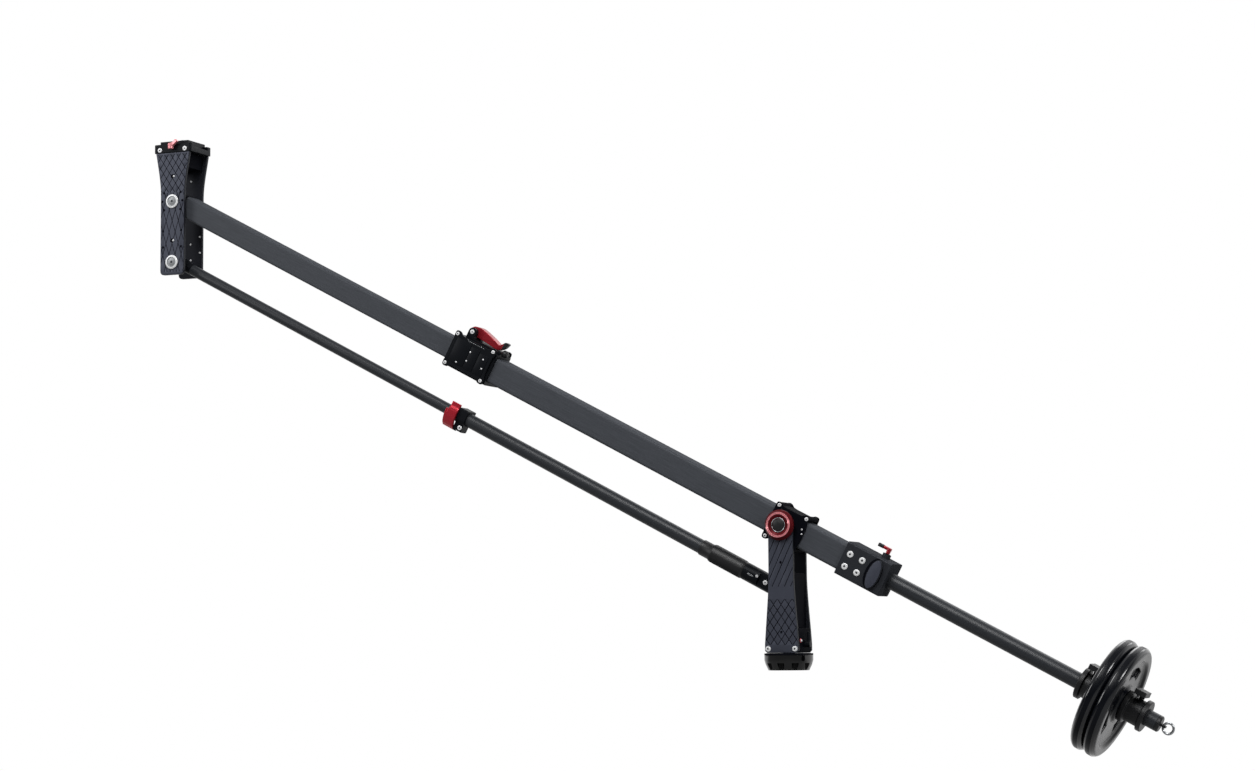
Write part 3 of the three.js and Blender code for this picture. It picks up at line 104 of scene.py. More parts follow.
def linear(hex_colour):
    """An sRGB hex colour as linear red, green, blue and alpha"""
    levels = [int(hex_colour[i : i + 2], 16) / 255 for i in (1, 3, 5)]
    return [x / 12.92 if x <= 0.04045 else ((x + 0.055) / 1.055) ** 2.4 for x in levels] + [1.0]


def colour(name, description, hex_colour):
    """A colour property whose default is an sRGB hex value"""
    return FloatVectorProperty(
        name=name, description=description, subtype="COLOR", size=4, min=0, max=1,
        default=linear(hex_colour),
    )


def length(name, description, millimetres):
    """A length property whose default is in millimetres"""
    return FloatProperty(
        name=name, description=description, default=millimetres * MM, min=0, unit="LENGTH",
        precision=5,
    )


class CraneColours(PropertyGroup):
    """Colours of the crane's finishes"""

    carbon: colour("Square tube", "Satin resin over the fibres of the boom tubes", "#505359")
    rod: colour("Round tube", "Satin resin over the fibres of the round tubes", "#303338")
    black_aluminium: colour("Black aluminium", "Anodised brackets, cheeks and covers", "#15171B")
    block: colour("Grey aluminium", "Anodised clamp block behind", "#303237")
    plate: colour("Side plates", "Faces of the engraved side plates", "#474A55")
    # Also painted shade: the dark cups of the holes and the unreflecting black of parts that lie in shade
    groove: colour("Grooves", "Engraved grooves and matt black pieces", "#0D0E14")
    gloss: colour("Gloss black", "Baked lacquer on the base", "#040405")
    red: colour("Red aluminium", "Anodised levers and stop washer", "#C02535")
    # Painted highlight: a pale pink copy of the red, for the knob's ring and the platform's lever
    bright_red: colour("Bright red aluminium", "Polished ring of the knob, platform's lever", "#F59CA2")
    # Painted shade: a dark copy of the red, for the knob's knurled grip and recess
    deep_red: colour("Deep red aluminium", "Anodised grip and recess of the knob", "#5A0A12")
    steel: colour("Steel", "Axles, caps and the end ring", "#C6C9CC")
    screw: colour("Screws", "Nickel plated cap screws", "#F2F3F4")
    socket: colour("Screw sockets", "Shaded recess in a screw's head", "#3A3D42")
    plastic: colour("Moulded nylon", "Collars, small knobs and end cap", "#0E0F12")
    iron: colour("Enamelled iron", "Counterweight discs", "#0A0C12")
    brass: colour("Brass", "Bush and bearing washers", "#B5964F")
    floor: colour("Floor", "Studio floor and backdrop", "#F4F4F4")


class CraneSizes(PropertyGroup):
    """Sizes of the crane's fine detail"""

    edge: length("Edge rounding", "Broken edge of machined pieces", 0.5)
    soft_edge: length("Soft edge", "Rounded edge of mouldings", 1.2)
    forging_grain: length("Forging grain", "Fineness of the levers' rounded surfaces", 0.4)
    lattice_width: length("Lattice width", "Width of one diamond on the side plates", 11)
    lattice_height: length("Lattice height", "Height of one diamond on the side plates", 16)
    stroke_width: length("Stroke width", "Distance between the long strokes of a side plate", 9)
    groove_width: length("Groove width", "Width of the engraved grooves", 1.0)
    groove_depth: length("Groove depth", "Depth of the engraved grooves", 0.45)
    ear_screw: length("Ear screw", "Radius of the screws in the collar and bracket ears", 2.7)
    block_screw: length("Block screw", "Radius of the clamp block's screws", 4.6)
    foot_screw: length("Foot screw", "Radius of the screws at the column's foot", 3.8)
    screw_height: length("Screw height", "Height of a screw's head above its seat", 1.3)
    knurl_depth: length("Knurl depth", "Depth of the grip pattern on knobs and handle", 0.55)
    knurl_pitch: length("Knurl pitch", "Distance between two ridges of the grip pattern", 1.6)
    round_steps: IntProperty(
        name="Round steps", description="Straight sides of a full circle", default=72, min=12
    )


# Materials


def feed(tree, node, inputs):
    """Gives a node's inputs their plain values, or links the outputs that feed them"""
    for key, value in inputs.items():
        if isinstance(value, bpy.types.NodeSocket):
            tree.links.new(value, node.inputs[key])
        else:
            node.inputs[key].default_value = value


def add_node(tree, kind, settings, inputs):
    """Adds a node with its settings, feeds its inputs and gives its outputs"""
    node = tree.nodes.new(f"ShaderNode{kind}")
    for key, value in settings.items():
        setattr(node, key, value)
    feed(tree, node, inputs)
    return node.outputs


def begin(name, turn=0.0):
    """A new material: its node tree, its shader and coordinates on the object in metres, which
    may be turned about the Y axis"""
    material = bpy.data.materials.new(name)
    material.use_nodes = True
    tree = material.node_tree
    source = add_node(tree, "TexCoord", {}, {})["Object"]
    where = add_node(
        tree, "Mapping", {"vector_type": "TEXTURE"}, {"Rotation": (0, turn, 0), "Vector": source}
    )["Vector"]
    return material, tree, tree.nodes["Principled BSDF"], where


def darker(rgba, share):
    """The same colour at a share of its brightness"""
    return [x * share for x in rgba[:3]] + [1.0]


def surface(name, rgba, patches, tones, rough, relief, looks, texture="TexNoise", reach=(0.2, 0.8)):
    """A material whose tone and roughness wander in cloudy patches, over a fine relief.

    patches holds a patch's width and detail, tones two shares of the colour's brightness, rough
    two values of roughness, and relief the texture's grain, detail, depth and strength. looks
    holds plain values of the shader. reach is how far the patches go between the tones."""
    material, tree, shader, where = begin(name)
    width, detail = patches
    clouds = add_node(
        tree, "TexNoise", {}, {"Scale": 1 / width, "Detail": detail, "Vector": where}
    )["Fac"]
    share, roughness = (
        add_node(tree, "MapRange", {}, {"Value": clouds, "To Min": low, "To Max": high})["Result"]
        for low, high in (reach, rough)
    )
    first, second = (darker(rgba, tone) for tone in tones)
    tone = add_node(tree, "Mix", {"data_type": "RGBA"}, {0: share, 6: first, 7: second})[2]
    grain, detail, depth, strength = relief
    height = add_node(tree, texture, {}, {"Scale": 1 / grain, "Detail": detail, "Vector": where})[0]
    normal = add_node(
        tree, "Bump", {}, {"Strength": strength, "Distance": depth, "Height": height}
    )["Normal"]
    feed(tree, shader, {"Base Color": tone, "Roughness": roughness, "Normal": normal, **looks})
    return material


def carbon_laminate(kind, rgba, sheen, rough):
    """Carbon fibre tube under satin resin: lengthwise fibres in two tones, a soft sheen. Single
    fibres are far too fine to show, so they are drawn about a millimetre wide."""
    material, tree, shader, where = begin(f"carbon fibre laminate, {kind}", BOOM_TILT)
    stretched = (0.03, 1, 1)
    along = add_node(
        tree, "VectorMath", {"operation": "MULTIPLY"}, {0: where, 1: stretched}
    )["Vector"]
    fibres, bundles, clouds = (
        add_node(tree, "TexNoise", {}, {"Scale": 1 / width, "Detail": detail, "Vector": vector})["Fac"]
        for vector, width, detail in (
            (along, 0.9 * MM, 3.0), (along, 3.5 * MM, 2.0), (where, 14 * MM, 4.0)
        )
    )
    fibre_share, bundle_share, roughness = (
        add_node(tree, "MapRange", {}, {"Value": value, "To Min": low, "To Max": high})["Result"]
        for value, low, high in (
            (fibres, -0.3, 1.1), (bundles, 0.2, 0.8), (clouds, rough, rough + 0.15)
        )
    )
    tone = darker(rgba, 1.15)
    for share, dark in ((bundle_share, 0.8), (fibre_share, 0.6)):
        tone = add_node(
            tree, "Mix", {"data_type": "RGBA"}, {0: share, 6: darker(rgba, dark), 7: tone}
        )[2]
    normal = add_node(
        tree, "Bump", {}, {"Strength": 0.3, "Distance": 0.05 * MM, "Height": fibres}
    )["Normal"]
    feed(
        tree, shader,
        {
            "Base Color": tone, "Roughness": roughness, "Normal": normal,
            "Specular IOR Level": sheen,
        },
    )
    return material


def anodised(kind, rgba, metal, rough, sheen=0.15):
    """Aluminium, bead blasted and anodised: an even fine grain that spreads the highlights. The
    beads leave pits of a tenth of a millimetre, drawn coarser here so that they show."""
    return surface(
        f"anodised aluminium, {kind}", rgba, patches=(14 * MM, 3.0), tones=(0.86, 1.1),
        rough=(rough - 0.05, rough + 0.06), relief=(0.5 * MM, 2.0, 0.05 * MM, 0.3),
        looks={"Metallic": metal, "Specular IOR Level": sheen},
    )


def polished_red(kind, rgba):
    """Aluminium, polished and dyed: a clear red whose rounded edges catch pale highlights"""
    return surface(
        f"anodised aluminium, {kind}", rgba, patches=(20 * MM, 2.0), tones=(0.92, 1),
        rough=(0.26, 0.32), relief=(0.8 * MM, 2.0, 0.01 * MM, 0.05), reach=(0, 1),
        looks={"Metallic": 0.5, "Coat Weight": 0.3, "Coat Roughness": 0.12},
    )


def baked_lacquer(rgba):
    """Baked gloss lacquer on a casting: deep black, sharp highlights, a slight orange peel"""
    return surface(
        "baked lacquer, gloss black", rgba, patches=(20 * MM, 4.0), tones=(1, 1.6),
        rough=(0.05, 0.12), relief=(2.5 * MM, 2.0, 0.04 * MM, 0.25),
        looks={"IOR": 1.5, "Coat Weight": 0.2, "Coat Roughness": 0.05},
    )


def turned_metal(name, rgba, rough, marks=0.6 * MM, metal=1.0):
    """Metal turned on a lathe or plated: bright, with faint tool marks and dull patches. The
    marks stand a tenth of a millimetre apart on the real one, and wider here so that they show."""
    return surface(
        name, rgba, patches=(8 * MM, 3.0), tones=(0.9, 1), rough=(rough - 0.05, rough + 0.08),
        relief=(marks, 2.0, 0.02 * MM, 0.2), looks={"Metallic": metal},
    )


def moulded_nylon(rgba):
    """Nylon from a spark-eroded mould: a leathery grain with a low, wide sheen. The grain is
    drawn about twice as coarse as the real one, so that it shows."""
    return surface(
        "moulded nylon, black", rgba, patches=(16 * MM, 3.0), tones=(0.85, 1.25),
        rough=(0.38, 0.52), relief=(0.7 * MM, 0.0, 0.05 * MM, 0.35), texture="TexVoronoi",
        looks={"IOR": 1.53},
    )


def enamelled_iron(kind, rgba, rough, sheen):
    """Cast iron under black enamel: the sand casting's soft lumps show through a glossy skin"""
    return surface(
        f"cast iron, {kind}", rgba, patches=(30 * MM, 4.0), tones=(0.8, 1.35),
        rough=(rough, rough + 0.12), relief=(3.5 * MM, 4.0, 0.12 * MM, 0.45),
        looks={"Specular IOR Level": sheen, "Coat Weight": sheen / 3, "Coat Roughness": 0.1},
    )


def seen_share(tree, shown, mirrored, lit):
    """One share for rays from the camera or through glass, one in reflections, one elsewhere"""
    path = add_node(tree, "LightPath", {}, {})
    direct = add_node(
        tree, "Math", {"operation": "MAXIMUM"},
        {0: path["Is Camera Ray"], 1: path["Is Transmission Ray"]},
    )["Value"]
    share = lit
    for ray, seen in ((path["Is Glossy Ray"], mirrored), (direct, shown)):
        share = add_node(
            tree, "MapRange", {}, {"To Min": share, "To Max": seen, "Value": ray}
        )["Result"]
    return share


def studio_white(rgba):
    """Seamless paper floor: matt with the crane's shadow nearby, plain white further out, and
    dim in the light that it throws up at the crane. The paper's fibres are drawn coarse."""
    material, tree, shader, where = begin("seamless paper, white")
    fibres = add_node(tree, "TexNoise", {}, {"Scale": 1 / (1.5 * MM), "Vector": where})["Fac"]
    normal = add_node(
        tree, "Bump", {}, {"Strength": 0.1, "Distance": 0.05 * MM, "Height": fibres}
    )["Normal"]
    thrown = seen_share(tree, 1.0, 0.2, 0.2)
    tone = add_node(tree, "Mix", {"data_type": "RGBA"}, {0: thrown, 6: (0, 0, 0, 1), 7: rgba})[2]
    feed(tree, shader, {"Base Color": tone, "Roughness": 0.9, "Normal": normal})
    distance = add_node(tree, "VectorMath", {"operation": "LENGTH"}, {0: where})["Value"]
    depth = add_node(tree, "SeparateXYZ", {}, {"Vector": where})["Y"]
    # What each share follows, from where to where in metres, and its value at either end
    reaches = ((distance, 1.2, 6, 0.8, 1.0), (depth, -0.5, 2.5, 0.1, 0.9))
    shown, mirrored = (
        add_node(
            tree, "MapRange", {"interpolation_type": "SMOOTHSTEP"},
            {"Value": value, "From Min": start, "From Max": end, "To Min": low, "To Max": high},
        )["Result"]
        for value, start, end, low, high in reaches
    )
    share = seen_share(tree, shown, mirrored, 0.0)
    white = add_node(tree, "Emission", {}, {"Color": (1, 1, 1, 1), "Strength": 1.0})["Emission"]
    mixed = add_node(tree, "MixShader", {}, {0: share, 1: shader.outputs["BSDF"], 2: white})
    feed(tree, tree.nodes["Material Output"], {"Surface": mixed["Shader"]})
    return material


FINISHES = {}


def make_finishes(colours):
    """Makes each finish once, under the record's slot names and those of the fine detail"""
    FINISHES.update(
        carbon_tube=carbon_laminate("square tube", colours.carbon, sheen=0.1, rough=0.4),
        rod=carbon_laminate("round tube", colours.rod, sheen=0.4, rough=0.32),
        black_anodised=anodised("black", colours.black_aluminium, 0.15, 0.38, sheen=0.08),
        carbon_top=carbon_laminate("top of a tube", colours.carbon, sheen=0.02, rough=0.6),
        block=anodised("grey", colours.block, 0.3, 0.45),
        block_end=anodised("milled end", colours.block, 0.0, 0.7, sheen=0.02),
        plate=anodised("engraved plate", colours.plate, 0.3, 0.42),
        # Painted shade: the plates' colour at a quarter of its brightness, for their inner faces and edges
        plate_back=anodised("back of a plate", darker(colours.plate, 0.25), 0.3, 0.5),
        groove=anodised("engraved groove", colours.groove, 0.0, 0.7, sheen=0.0),
        # Matt black for the collar, and painted shade for the column's web and foot, the head block, the pan
        # washer, the ring in the slit and the groove by the rear block's boss
        matt_black=anodised("matt black", colours.groove, 0.0, 0.7, sheen=0.02),
        red_anodised=polished_red("red", colours.red),
        # Painted shade: the red at seven tenths of its brightness, for the two cam levers
        dark_red=polished_red("dark red", darker(colours.red, 0.7)),
        # Painted highlight: the pale pink copy of the red
        bright_red=polished_red("bright red", colours.bright_red),
        # Painted shade: the dark copy of the red
        deep_red=anodised("deep red", colours.deep_red, 0.3, 0.4),
        black_cast=baked_lacquer(colours.gloss),
        bright_steel=turned_metal("turned steel", colours.steel, 0.26),
        # Painted shade: steel at six tenths of its brightness, for the bearing caps' recess
        dull_steel=turned_metal("turned steel, dull", darker(colours.steel, 0.6), 0.42, metal=0.5),
        screw=turned_metal("nickel plated steel", colours.screw, 0.45, 0.5 * MM, 0.3),
        socket=turned_metal("nickel plated steel, socket", colours.socket, 0.5, 0.5 * MM, 0.3),
        brass=turned_metal("turned brass", colours.brass, 0.32),
        black_plastic=moulded_nylon(colours.plastic),
        enamelled_iron=enamelled_iron("black enamel", colours.iron, rough=0.22, sheen=0.3),
        dull_enamel=enamelled_iron("dull enamel", colours.iron, rough=0.3, sheen=0.12),
        glossy_enamel=enamelled_iron("glossy enamel", colours.iron, rough=0.1, sheen=0.7),
    )


def finish(name):
    """One of the crane's finishes. The first call makes them all."""
    if not FINISHES:
        make_finishes(bpy.context.scene.crane_colours)
    return FINISHES[name]


# Shapes


def sizes():
    """The crane's fine sizes"""
    return bpy.context.scene.crane_sizes


TURN_FROM_Z = {
    "X": Matrix.Rotation(math.radians(90), 4, "Y"),
    "Y": Matrix.Rotation(math.radians(-90), 4, "X"),
    "Z": Matrix.Identity(4),
}


def turned(profile, axis="X", at=(0, 0, 0), steps=None):
    """A turned body. The profile lists radius and place along the axis, and closes on itself
    unless it starts and ends on the axis."""
    bm = bmesh.new()
    points = [bm.verts.new((radius, 0, along)) for radius, along in profile]
    pairs = list(zip(points, points[1:]))
    if profile[0][0] > 0:
        pairs.append((points[-1], points[0]))
    edges = [bm.edges.new(pair) for pair in pairs]
    bmesh.ops.spin(
        bm, geom=points + edges, cent=(0, 0, 0), axis=(0, 0, 1), dvec=(0, 0, 0),
        angle=FULL_TURN, steps=steps or sizes().round_steps, use_merge=True,
    )
    bmesh.ops.remove_doubles(bm, verts=bm.verts, dist=WELD_DISTANCE)
    bm.transform(Matrix.Translation(Vector(at)) @ TURN_FROM_Z[axis])
    return bm


def soften(bm, width, segments=2):
    """Rounds the sharp edges"""
    sharp = [
        edge for edge in bm.edges if edge.is_manifold and edge.calc_face_angle() > CREASE_ANGLE
    ]
    bmesh.ops.bevel(
        bm, geom=sharp, offset=width, segments=segments, profile=0.5, affect="EDGES",
        material=-1, clamp_overlap=True,
    )
    return bm


def slab(outline, low, high):
    """A flat outline in X and Z, as thick as from low to high in Y"""
    bm = bmesh.new()
    face = bm.faces.new([bm.verts.new((x, low, z)) for x, z in outline])
    made = bmesh.ops.extrude_face_region(bm, geom=[face])["geom"]
    far = [item for item in made if isinstance(item, bmesh.types.BMVert)]
    bmesh.ops.translate(bm, vec=(0, high - low, 0), verts=far)
    bmesh.ops.recalc_face_normals(bm, faces=bm.faces)
    return bm


def joined(parts):
    """Several shapes in one mesh"""
    whole = bmesh.new()
    for part in parts:
        mesh = bpy.data.meshes.new("part")
        part.to_mesh(mesh)
        part.free()
        whole.from_mesh(mesh)
        bpy.data.meshes.remove(mesh)
    return whole


def publish(name, bm, place, body, slot, finishes=(), replaced=(), crease=CREASE_ANGLE):
    """Makes a shape a piece of the crane: it rides on a body and takes its finishes, or else the
    one of its slot"""
    bmesh.ops.recalc_face_normals(bm, faces=bm.faces)
    bm.transform(place)
    mesh = bpy.data.meshes.new(name)
    bm.to_mesh(mesh)
    bm.free()
    for entry in finishes or [slot]:
        mesh.materials.append(finish(entry))
    mesh.shade_smooth()
    mesh.set_sharp_from_angle(angle=crease)
    piece = bpy.data.objects.new(name, mesh)
    bpy.context.scene.collection.objects.link(piece)
    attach(piece, body)
    if replaced:
        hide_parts(*replaced)
    return piece


def machined_copy(node):
    """A node's own shape, with its loose triangles merged and its flat faces made whole"""
    bm = bmesh.new()
    bm.from_mesh(NODES[node].data)
    bmesh.ops.remove_doubles(bm, verts=bm.verts, dist=WELD_DISTANCE)
    bmesh.ops.dissolve_limit(bm, angle_limit=FLAT_ANGLE, verts=bm.verts, edges=bm.edges)
    return bm


def dress(node, rounding=None, segments=2, material=None):
    """Stands a finished copy with broken edges in for a node"""
    bm = soften(machined_copy(node), rounding or sizes().edge, segments)
    piece = publish(
        f"{node}_finished", bm, CRANE, BODY_OF[node], SLOT_OF[node],
        [material or SLOT_OF[node]], [node],
    )
    piece.modifiers.new("flat faces stay flat", "WEIGHTED_NORMAL").keep_sharp = True
    return piece


def refinish(piece, name, direction):
    """Gives those faces of a piece that look one way along the boom's axes another finish"""
    piece.data.materials.append(finish(name))
    added = len(piece.data.materials) - 1
    way = BOOM.to_3x3() @ Vector(direction)
    likeness = 0.7
    for face in piece.data.polygons:
        if face.normal.dot(way) > likeness:
            face.material_index = added


def forge(name, bm, node, material, replaced=()):
    """Publishes a lever's shape as a forging: its surface evenly meshed, then relaxed so that
    every edge is round"""
    piece = publish(name, bm, CRANE, BODY_OF[node], SLOT_OF[node], [material], replaced)
    even = piece.modifiers.new("even mesh", "REMESH")
    even.mode = "VOXEL"
    even.voxel_size = sizes().forging_grain
    even.use_smooth_shade = True
    relaxed = piece.modifiers.new("round edges", "SMOOTH")
    relaxed.factor = 0.5
    relaxed.iterations = 10
    return piece


def forge_lever(node, material="red_anodised", bm=None):
    """Stands a forged copy in for a lever, or another shape of it"""
    return forge(f"{node}_forged", bm or machined_copy(node), node, material, [node])


def moulded_tip(node, shape, start, direction):
    """Covers the end of a lever with a dark moulded cap, a little fuller than the lever"""
    growth = 1.08
    bm = shape.copy()
    parts = bm.verts[:] + bm.edges[:] + bm.faces[:]
    cut = bmesh.ops.bisect_plane(
        bm, geom=parts, dist=WELD_DISTANCE, plane_co=start, plane_no=direction, clear_inner=True
    )["geom_cut"]
    rim = [item for item in cut if isinstance(item, bmesh.types.BMEdge)]
    bmesh.ops.edgeloop_fill(bm, edges=rim)
    centre = sum((vertex.co for vertex in bm.verts), Vector()) / len(bm.verts)
    fuller = Matrix.Scale(growth, 4)
    bm.transform(Matrix.Translation(centre) @ fuller @ Matrix.Translation(-centre))
    return forge(f"{node}_tip", bm, node, "black_plastic")


def face_of(node, place, outward):
    """Where a node's outer side lies along Y"""
    low, high = extent(node, place)
    return low.y if outward < 0 else high.y


def oval(x, z, half_length, half_height, steps=48):
    """The outline of an ellipse in X and Z"""
    turns = [FULL_TURN * i / steps for i in range(steps)]
    return [(x + half_length * math.cos(t), z + half_height * math.sin(t)) for t in turns]


def plaque(outline, face, outward, thickness, rounding):
    """A thin plate with softened edges on a face that looks along Y"""
    return soften(slab(outline, *sorted((face, face + outward * thickness))), rounding)


def ring_profile(bore, radius, above, below):
    """The profile of a flat ring or washer with a chamfer, as turned takes it"""
    chamfer = 0.4 * MM
    return [
        (bore, above), (radius - chamfer, above), (radius, above - chamfer), (radius, -below),
        (bore, -below),
    ]


def ridge_count(radius):
    """How many ridges and valleys of the grip pattern go round a radius, together"""
    return 2 * round(FULL_TURN * radius / sizes().knurl_pitch)


def knurl(bm, axis, radius, ridges, band, start=0.0, pitch=math.inf):
    """Presses every second point in the outer band of a turned grip inward. That makes ridges,
    or diamonds where rows of points stand at a pitch from a start."""
    along = "XYZ".index(axis)
    first, second = (i for i in range(3) if i != along)
    pressed = 1 - sizes().knurl_depth / radius
    for vertex in bm.verts:
        across, up = vertex.co[first], vertex.co[second]
        if math.hypot(across, up) > radius - band:
            turn = round(math.atan2(up, across) * ridges / FULL_TURN)
            row = round((vertex.co[along] - start) / pitch)
            if (turn + row) % 2:
                vertex.co[first] *= pressed
                vertex.co[second] *= pressed


def from_centre(points, centre=(0, 0)):
    """Points in X and Z from their distances, in millimetres, from a centre"""
    return [(centre[0] + x * MM, centre[1] + z * MM) for x, z in points]


def spots(face, points, centre=(0, 0)):
    """Places on a side face from their distances, in millimetres, from a centre"""
    return [(x, face, z) for x, z in from_centre(points, centre)]


def corners(x, z):
    """The four corners of a rectangle about its centre"""
    return [(-x, -z), (-x, z), (x, z), (x, -z)]


# Fasteners


def cap_screw(radius, height, axis, at, outward):
    """A domed cap screw with a socket. outward is 1 or -1 along the axis."""
    socket, dome = radius * 0.34, height * 0.3
    floor, sunk = height * 0.25, -height * 0.5
    profile = [
        (0, floor), (socket * 0.86, floor), (socket, height * 0.5), (socket, height),
        (radius * 0.7, height), (radius * 0.92, height - dome * 0.6),
        (radius, height - dome * 1.6), (radius, sunk), (0, sunk),
    ]
    steps = sizes().round_steps // 3
    along_axis = "XYZ".index(axis)
    bm = turned([(r, outward * along) for r, along in profile], axis, at, steps)
    centre, margin = Vector(at), 1.02
    plated, shaded = range(2)
    for face in bm.faces:
        offset = face.calc_center_median() - centre
        reach = offset[along_axis] * outward
        offset[along_axis] = 0
        inside = offset.length < socket * margin and reach > 0
        face.material_index = shaded if inside else plated
    return bm


def add_screws(name, place, body, outward, points, radius, axis="Y"):
    """A set of like cap screws as one piece"""
    height = sizes().screw_height
    screws = [cap_screw(radius, height, axis, point, outward) for point in points]
    return publish(name, joined(screws), place, body, "bright_steel", ["screw", "socket"])


def add_holes(name, place, body, outward, points, radius):
    """Bushed holes in a side plate as one piece: shallow dark cups in low rims, seen along Y. The cups' dark
    colour is painted shade standing for the depth of the holes.
    """
    rim = 0.15 * MM
    profile = [
        (0, rim * 0.3), (radius * 0.8, rim * 0.3), (radius * 0.85, rim), (radius, rim),
        (radius, -2 * rim), (0, -2 * rim),
    ]
    steps = sizes().round_steps // 3
    cup = [(r, outward * along) for r, along in profile]
    holes = [turned(cup, "Y", point, steps) for point in points]
    # The cups take the groove colour: painted shade
    return publish(name, joined(holes), place, body, "black_anodised", ["groove"])


# Engraved side plates

# The finishes of a side plate, in their order. The last is painted shade: the plate's colour darkened on its inner
# face and edges, which lie between the plates.
FRONT, GROOVE, BACK = range(3)


def plate_outline(node, place, outward):
    """The outer outline of a side plate, as points in X and Z of the assembly's frame"""
    bm = machined_copy(node)
    bm.transform(place.inverted())
    level = max(vertex.co.y * outward for vertex in bm.verts)
    left = [
        edge for edge in bm.edges
        if all(abs(v.co.y * outward - level) < WELD_DISTANCE for v in edge.verts)
        and edge.calc_face_angle(0) > CREASE_ANGLE
    ]
    loops = []
    while left:
        edge = left.pop()
        loop = [edge.verts[0], edge.verts[1]]
        while True:
            following = next((e for e in loop[-1].link_edges if e in left), None)
            if following is None:
                break
            left.remove(following)
            loop.append(following.other_vert(loop[-1]))
        loops.append(loop[:-1] if loop[-1] == loop[0] else loop)
    outer = max(loops, key=lambda loop: max(v.co.z for v in loop) - min(v.co.z for v in loop))
    outline = [(v.co.x, v.co.z) for v in outer]
    bm.free()
    return outline


def outer_faces(bm, level, outward, low=-math.inf, high=math.inf):
    """Faces on the outer side of a plate whose middle lies between two heights"""
    return [
        face for face in bm.faces
        if low < face.calc_center_median().z < high
        and all(abs(v.co.y * outward - level) < WELD_DISTANCE for v in face.verts)
    ]


def cut_faces(bm, faces, point, normal):
    """Divides faces along a plane"""
    parts = dict.fromkeys(part for face in faces for part in (face, *face.edges, *face.verts))
    bmesh.ops.bisect_plane(bm, geom=list(parts), dist=WELD_DISTANCE, plane_co=point, plane_no=normal)


def engrave(bm, level, outward, low, high, width, height, slants):
    """Cuts slanting grooves into the outer face of a plate, between two heights. Both slants
    together make diamonds of that width and height, and one alone makes strokes."""
    fine = sizes()
    for level_z in (low, high):
        whole = outer_faces(bm, level, outward)
        cut_faces(bm, whole, Vector((0, 0, level_z)), Vector((0, 0, 1)))
    rise = math.atan2(height, width)
    pitch = width * math.sin(rise)
    spare = 4 * width
    count = math.ceil((high - low + spare) / pitch)
    middle = Vector((0, level * outward, (low + high) / 2))
    for slant in slants:
        across = Vector((math.sin(rise), 0, -slant * math.cos(rise)))
        for step in range(-count, count + 1):
            zone = outer_faces(bm, level, outward, low, high)
            cut_faces(bm, zone, middle + across * (step + 0.5) * pitch, across)
    tiles = outer_faces(bm, level, outward, low, high)
    borders = {edge for edge in bm.edges if sum(face in tiles for face in edge.link_faces) == 1}
    rims = {vertex for edge in borders for vertex in edge.verts}
    cuts = dict.fromkeys(edge for face in tiles for edge in face.edges if edge not in borders)
    whole = [edge for edge in cuts if all(vertex in rims for vertex in edge.verts)]
    bmesh.ops.bisect_edges(bm, edges=whole, cuts=3)
    made = bmesh.ops.inset_individual(
        bm, faces=tiles, thickness=fine.groove_width / 2, depth=0, use_even_offset=True
    )["faces"]
    engraved = set(made) | set(tiles)
    seams = {vertex for face in made for vertex in face.verts}
    seams -= {vertex for face in tiles for vertex in face.verts}
    sunk = {vertex for vertex in seams if all(face in engraved for face in vertex.link_faces)}
    bmesh.ops.translate(bm, vec=(0, -outward * fine.groove_depth, 0), verts=list(sunk))
    for face in made:
        face.material_index = GROOVE if any(vertex in sunk for vertex in face.verts) else FRONT


def engraved_plate(node, place, zones):
    """A side plate in its own outline. Each zone lists two heights, the width and the height of
    its pattern and its slants."""
    low, high = extent(node, place)
    outward = -1 if low.y < 0 else 1
    inside, outside = sorted((abs(low.y), abs(high.y)))
    bm = slab(plate_outline(node, place, outward), *sorted((inside * outward, outside * outward)))
    soften(bm, sizes().edge)
    for face in bm.faces:
        # The inner face and the edges take the painted shade
        face.material_index = FRONT if face.normal.y * outward > 0.5 else BACK
    for zone in zones:
        engrave(bm, outside, outward, *zone)
    return publish(
        f"{node}_engraved", bm, place, BODY_OF[node], SLOT_OF[node],
        ["plate", "groove", "plate_back"], [node], crease=math.radians(25),
    )


# Operators


class CRANE_OT_base(Operator):
    """Dresses the base puck, its bush, the pan spindle and the bearing washer, and makes the
    dark ring that closes the slit above the puck. The washer and the ring are painted shade:
    unreflecting black where the slit between the puck and the plates lies in shade."""

    bl_idname = "jib_crane.base"
    bl_label = "Base"

    def execute(self, context):
        dress("base_puck", rounding=0.9 * MM, segments=3)
        for node in ("tripod_bush", "pan_spindle"):
            dress(node, rounding=0.2 * MM)
        dress("pan_washer", rounding=0.2 * MM, material="matt_black")
        # Painted shade: a thin unreflecting black ring that darkens the slit between the puck and the plates
        top = extent("base_puck")[1]
        shield = ring_profile(
            bore=31.2 * MM, radius=top.x - 0.1 * MM, above=0.9 * MM, below=1.6 * MM
        )
        publish(
            "pan_dust_shield", turned(shield, "Z", (0, 0, top.z)), CRANE, BODY_OF["base_puck"],
            "black_cast", ["matt_black"],
        )
        return {"FINISHED"}


